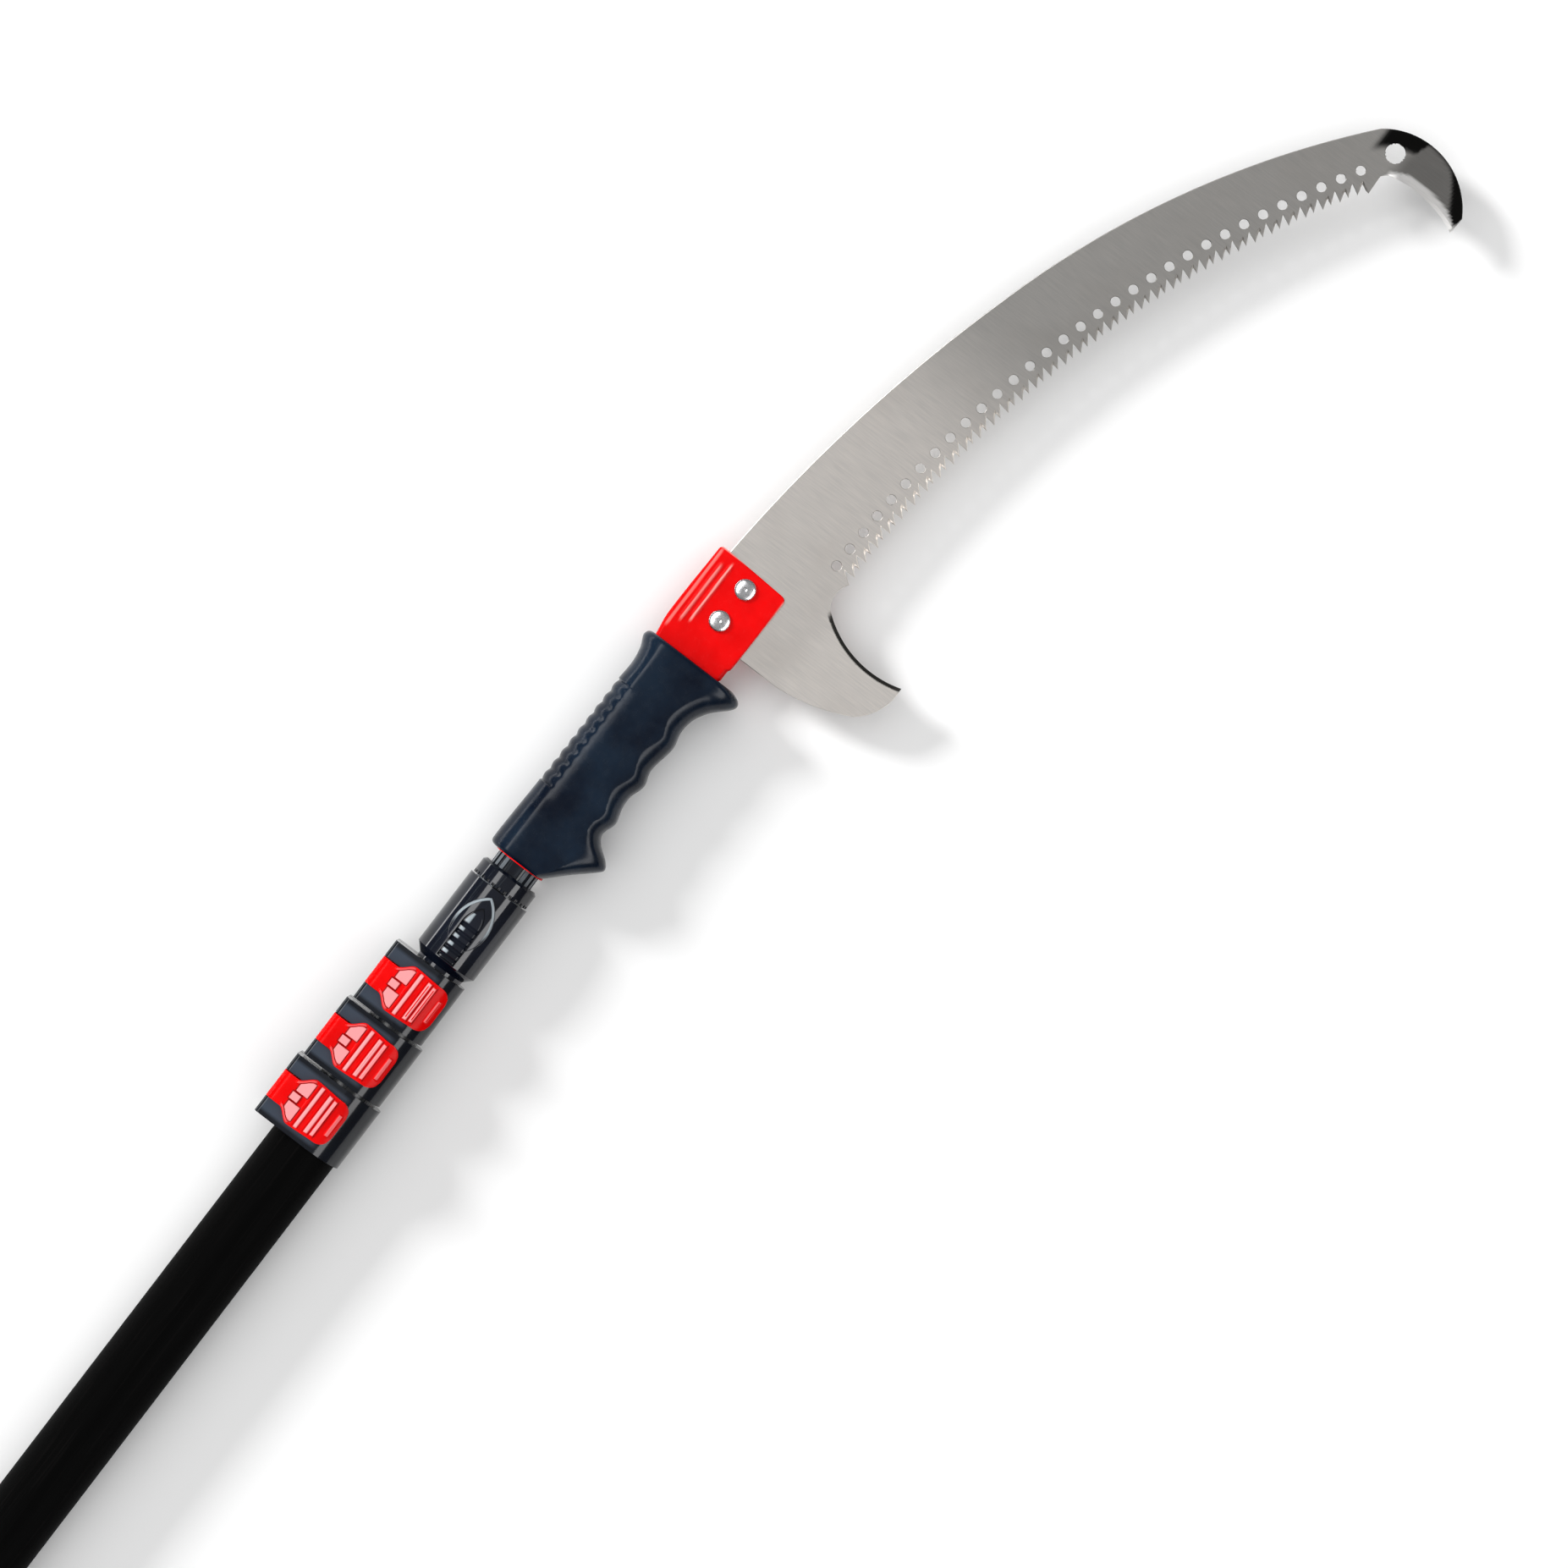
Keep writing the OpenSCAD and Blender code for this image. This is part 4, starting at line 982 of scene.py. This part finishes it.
def blade_colour_and_painted_light(x, y):
    """Colour of the steel with painted light: a painted reflection, bright and warm at the heel, darker to
    the tip, black on the tip hook's back and grey inside the hook, a little lighter over the heel hook, a
    painted highlight on the hook's ground bevel, and painted shade along the heel hook's inner edge.
    """
    # Painted reflection: bright and warm at the heel, darker towards the tip
    along = ease(x, 150, 245)
    warm = HEEL_STEEL * (1 - along) + TIP_STEEL * along
    if y > -125 or x < 300:
        heel = ease(-y, 44, 60) * (1 - ease(x, 75, 90))
        near = from_arc(x, y, HEEL_ARC)
        # Painted shade: a dark band along the heel hook's inner edge
        painted_edge_shade = (1 - ease(near, 1.8, 2.3)) * bump_between(-y, 51, 103, 3) if x < 70 and near > -0.5 else 0
        return warm * (1 + 0.12 * heel) * (1 - 0.93 * painted_edge_shade)
    inner = from_arc(x, y, HOOK_ARC)
    # Painted highlight on the tip hook's ground bevel
    width = 1.8 + 2.6 * bump_between(-y, 152, 176, 12)
    ground = (1 - ease(inner, width - 0.5, width + 0.9)) * bump_between(-y, 142, 187, 1) * ease(x, 400, 415)
    # Painted reflection: black over the tip hook's back, grey inside the hook
    width = 1.4 + 8 * bump_between(-y, 126, 146, 4) * (1 - 0.5 * ease(-y, 146, 154))
    width += 6.5 * ease(-y, 164, 180)
    black = (1 - ease(-from_arc(x, y, TIP_ARC), width - 2, width + 3)) * ease(-y, 125, 129)
    grey = 0.5 * ease(-y, 138, 148) * ease(x, 405, 418)
    shaded = warm * (1 - max(0.98 * black, grey))
    return shaded * (1 - ground) + GROUND_BEVEL_HIGHLIGHT * ground


def in_hole(corners):
    """Whether a triangle's middle lies in a clearing hole or the hanging hole."""
    middle = sum(corners, Vector((0, 0))) / len(corners)
    spots = [(polar(HOLE_RADIUS, HOLE_FIRST + HOLE_STEP * k), HOLE_R) for k in range(HOLES)]
    return any((middle - Vector(spot)).length < r for spot, r in spots + [(HANG_SPOT, HANG_R)])


def build_blade():
    """The blade with its teeth, bevels and holes; the CAD blade's rivet holes are left out."""
    loops = [blade_outline()]
    if signed_area(loops[0]) < 0:
        loops[0].reverse()
    loops += [circle(polar(HOLE_RADIUS, HOLE_FIRST + HOLE_STEP * k), HOLE_R, 28, 0.25) for k in range(HOLES)]
    loops.append(circle(HANG_SPOT, HANG_R, 48, 0.4))
    points, faces = [], []
    rims = {1: [], -1: []}
    for loop in loops:
        moved = inset(loop)
        base = len(points)
        count = len(loop)
        for (p, inward), (_, _, front, back) in zip(moved, loop):
            top, low = p + inward * front, p + inward * back
            top_z = max(0.06, HALF_BLADE - front)
            low_z = max(0.06, HALF_BLADE - back)
            if front > 0.6 > back:
                top_z = -0.3
            if back > 0.6 > front:
                low_z = -0.3
            points += [(*top, HALF_BLADE), (*p, top_z), (*p, -low_z), (*low, -HALF_BLADE)]
        for k in range(count):
            a, b = base + 4 * k, base + 4 * ((k + 1) % count)
            faces += [(a + j, b + j, b + j + 1, a + j + 1) for j in range(3)]
        rims[1].append([p + inward * f for (p, inward), (_, _, f, _) in zip(moved, loop)])
        rims[-1].append([p + inward * f for (p, inward), (_, _, _, f) in zip(moved, loop)])
    for side, rings in rims.items():
        flat, lines = [], []
        for ring in rings:
            first = len(flat)
            flat += ring
            lines += [(first + k, first + (k + 1) % len(ring)) for k in range(len(ring))]
        flat += [Vector((4 + 5 * i, 14 - 5 * j)) for i in range(82) for j in range(32)]
        flat += [Vector((405.3 + 1.3 * i, -115.6 - 1.3 * j)) for i in range(33) for j in range(56)]
        for reach in (1.8, 2.4):
            x, y, r = HEEL_ARC
            turns = [radians(140 + 1.4 * k) for k in range(43)]
            flat += [Vector((x + (r + reach) * cos(a), y + (r + reach) * sin(a))) for a in turns]
        found, _, triangles, _, _, _ = delaunay_2d_cdt(flat, lines, [], 2, 1e-4)
        first = len(points)
        points += [(p.x, p.y, side * HALF_BLADE) for p in found]
        faces += [tuple(first + i for i in t) for t in triangles if not in_hole([found[i] for i in t])]
    points = [(FLAT_X + x, y, z) for x, y, z in points]
    blade = add_piece("blade_plate", points, faces, "section_4", "blade_steel", BLADE, ["saw_blade"], 20)
    # Colour attribute: the steel's colour with painted reflections, highlight and shade
    paint(blade, "painted_light", lambda x, y, z: blade_colour_and_painted_light(x - FLAT_X, y))


def build_rivets():
    """Both rivets: a domed head with a small flat on each side of the flattened tube."""
    low, high = span("blade_rivets")
    r = 5.9
    dome = high.z - HEAD_FLAT
    centres = [(low.x + r, -6), (high.x - r, -6.8)]
    head = [(r - 0.25, 0), (r, 0.3), (r - 0.1, 0.7)]
    head += [(r * cos(a), 0.6 + (dome - 0.6) * sin(a)) for a in (radians(18 + 8 * k) for k in range(8))]
    head += [(0.9, dome - 0.02), (0.6, dome - 0.2), (0, dome - 0.24)]
    sides = 64
    profile = [(q, -HEAD_FLAT - h) for q, h in reversed(head)]
    profile += [(3, -HEAD_FLAT), (3, HEAD_FLAT)] + [(q, HEAD_FLAT + h) for q, h in head]
    points, faces = [], []
    for x, y in centres:
        first = len(points)
        for q, z in profile:
            turns = [2 * pi * k / sides for k in range(sides)]
            points += [(x + q * cos(a), y + q * sin(a), z) for a in turns]
        faces += [tuple(first + i for i in f) for f in ring_faces(len(profile), sides)]
    add_piece("rivet_heads", points, faces, "section_4", "rivet_zinc", ZINC, ["blade_rivets"], 50)


# ---- Studio ----

PICTURE_CENTRE = (1.3838, -0.0841)
PICTURE_SIZE = 0.8184
LENS, SENSOR = 135, 36
PICTURE_TURN = -52.6
FLOOR_LOW, FLOOR_HIGH = (-9, -10), (11, 10)


def place_light(data, tilt, distance=3.0):
    """Aim a light at the picture's middle, tilted from straight up towards +Y."""
    lamp = bpy.data.objects.new(data.name, data)
    away = Vector((0, sin(radians(tilt)), cos(radians(tilt))))
    lamp.location = Vector((*PICTURE_CENTRE, 0)) + away * distance
    lamp.rotation_euler = (-radians(tilt), 0, 0)
    bpy.context.scene.collection.objects.link(lamp)
    return lamp


def add_sky_light(name, tilt, strength, spread):
    """Even soft light over the whole floor, left out of reflections."""
    data = bpy.data.lights.new(name, "SUN")
    data.energy = strength
    data.angle = radians(spread)
    place_light(data, tilt).visible_glossy = False


def add_strip(name, tilt, width, power):
    """Long soft panel along the pole that shows in reflections only."""
    data = bpy.data.lights.new(name, "AREA")
    data.shape = "RECTANGLE"
    data.size, data.size_y = 3.4, width
    data.energy = power
    place_light(data, tilt).visible_diffuse = False


def build_studio():
    """Camera at the photograph's view, a plain pale floor, soft lights and a dim even room."""
    data = bpy.data.cameras.new("camera")
    data.lens, data.sensor_width = LENS, SENSOR
    camera = bpy.data.objects.new("camera", data)
    camera.location = (*PICTURE_CENTRE, PICTURE_SIZE * LENS / SENSOR)
    camera.rotation_euler = (0, 0, radians(PICTURE_TURN))
    bpy.context.scene.collection.objects.link(camera)
    bpy.context.scene.camera = camera

    floor_z = cad_box[0].z - 0.0002
    sheet = bpy.data.meshes.new("floor")
    (x0, y0), (x1, y1) = FLOOR_LOW, FLOOR_HIGH
    corners = [(x0, y0, floor_z), (x1, y0, floor_z), (x1, y1, floor_z), (x0, y1, floor_z)]
    sheet.from_pydata(corners, [], [(0, 1, 2, 3)])
    floor = bpy.data.objects.new("floor", sheet)
    paper, tree, bsdf, place = shader("paper")
    tone = mix(tree, noise(tree, place, 3, 2), (0.84, 0.84, 0.84), (0.87, 0.87, 0.87))
    tree.links.new(tone, bsdf.inputs["Base Color"])
    bsdf.inputs["Roughness"].default_value = 0.9
    bsdf.inputs["Specular IOR Level"].default_value = 0.1
    sheet.materials.append(paper)
    bpy.context.scene.collection.objects.link(floor)

    world = bpy.data.worlds.new("studio")
    world.use_nodes = True
    tree = world.node_tree
    up = tree.nodes.new("ShaderNodeSeparateXYZ")
    tree.links.new(tree.nodes.new("ShaderNodeTexCoord").outputs["Generated"], up.inputs[0])
    level = remap(tree, up.outputs["Z"], 0.3, 0.95, 0.12, 0.36)
    tree.links.new(level, tree.nodes["Background"].inputs["Strength"])
    tree.nodes["Background"].inputs["Color"].default_value = (1, 1, 1, 1)
    bpy.context.scene.world = world

    add_sky_light("key", 62, 2.8, 14)
    add_sky_light("fill", 0, 1.9, 100)
    add_strip("strip_back", 33, 0.95, 52)
    add_strip("strip_front", -44, 1.0, 55)
    add_strip("strip_low", 88, 0.3, 25)
    bpy.context.scene.view_settings.view_transform = "Standard"


for tube in TUBES:
    build_tube(*tube)
build_butt_cap()
dress_clamps()
dress_coupler()
build_grip()
build_head_tube()
build_blade()
build_rivets()
build_studio()
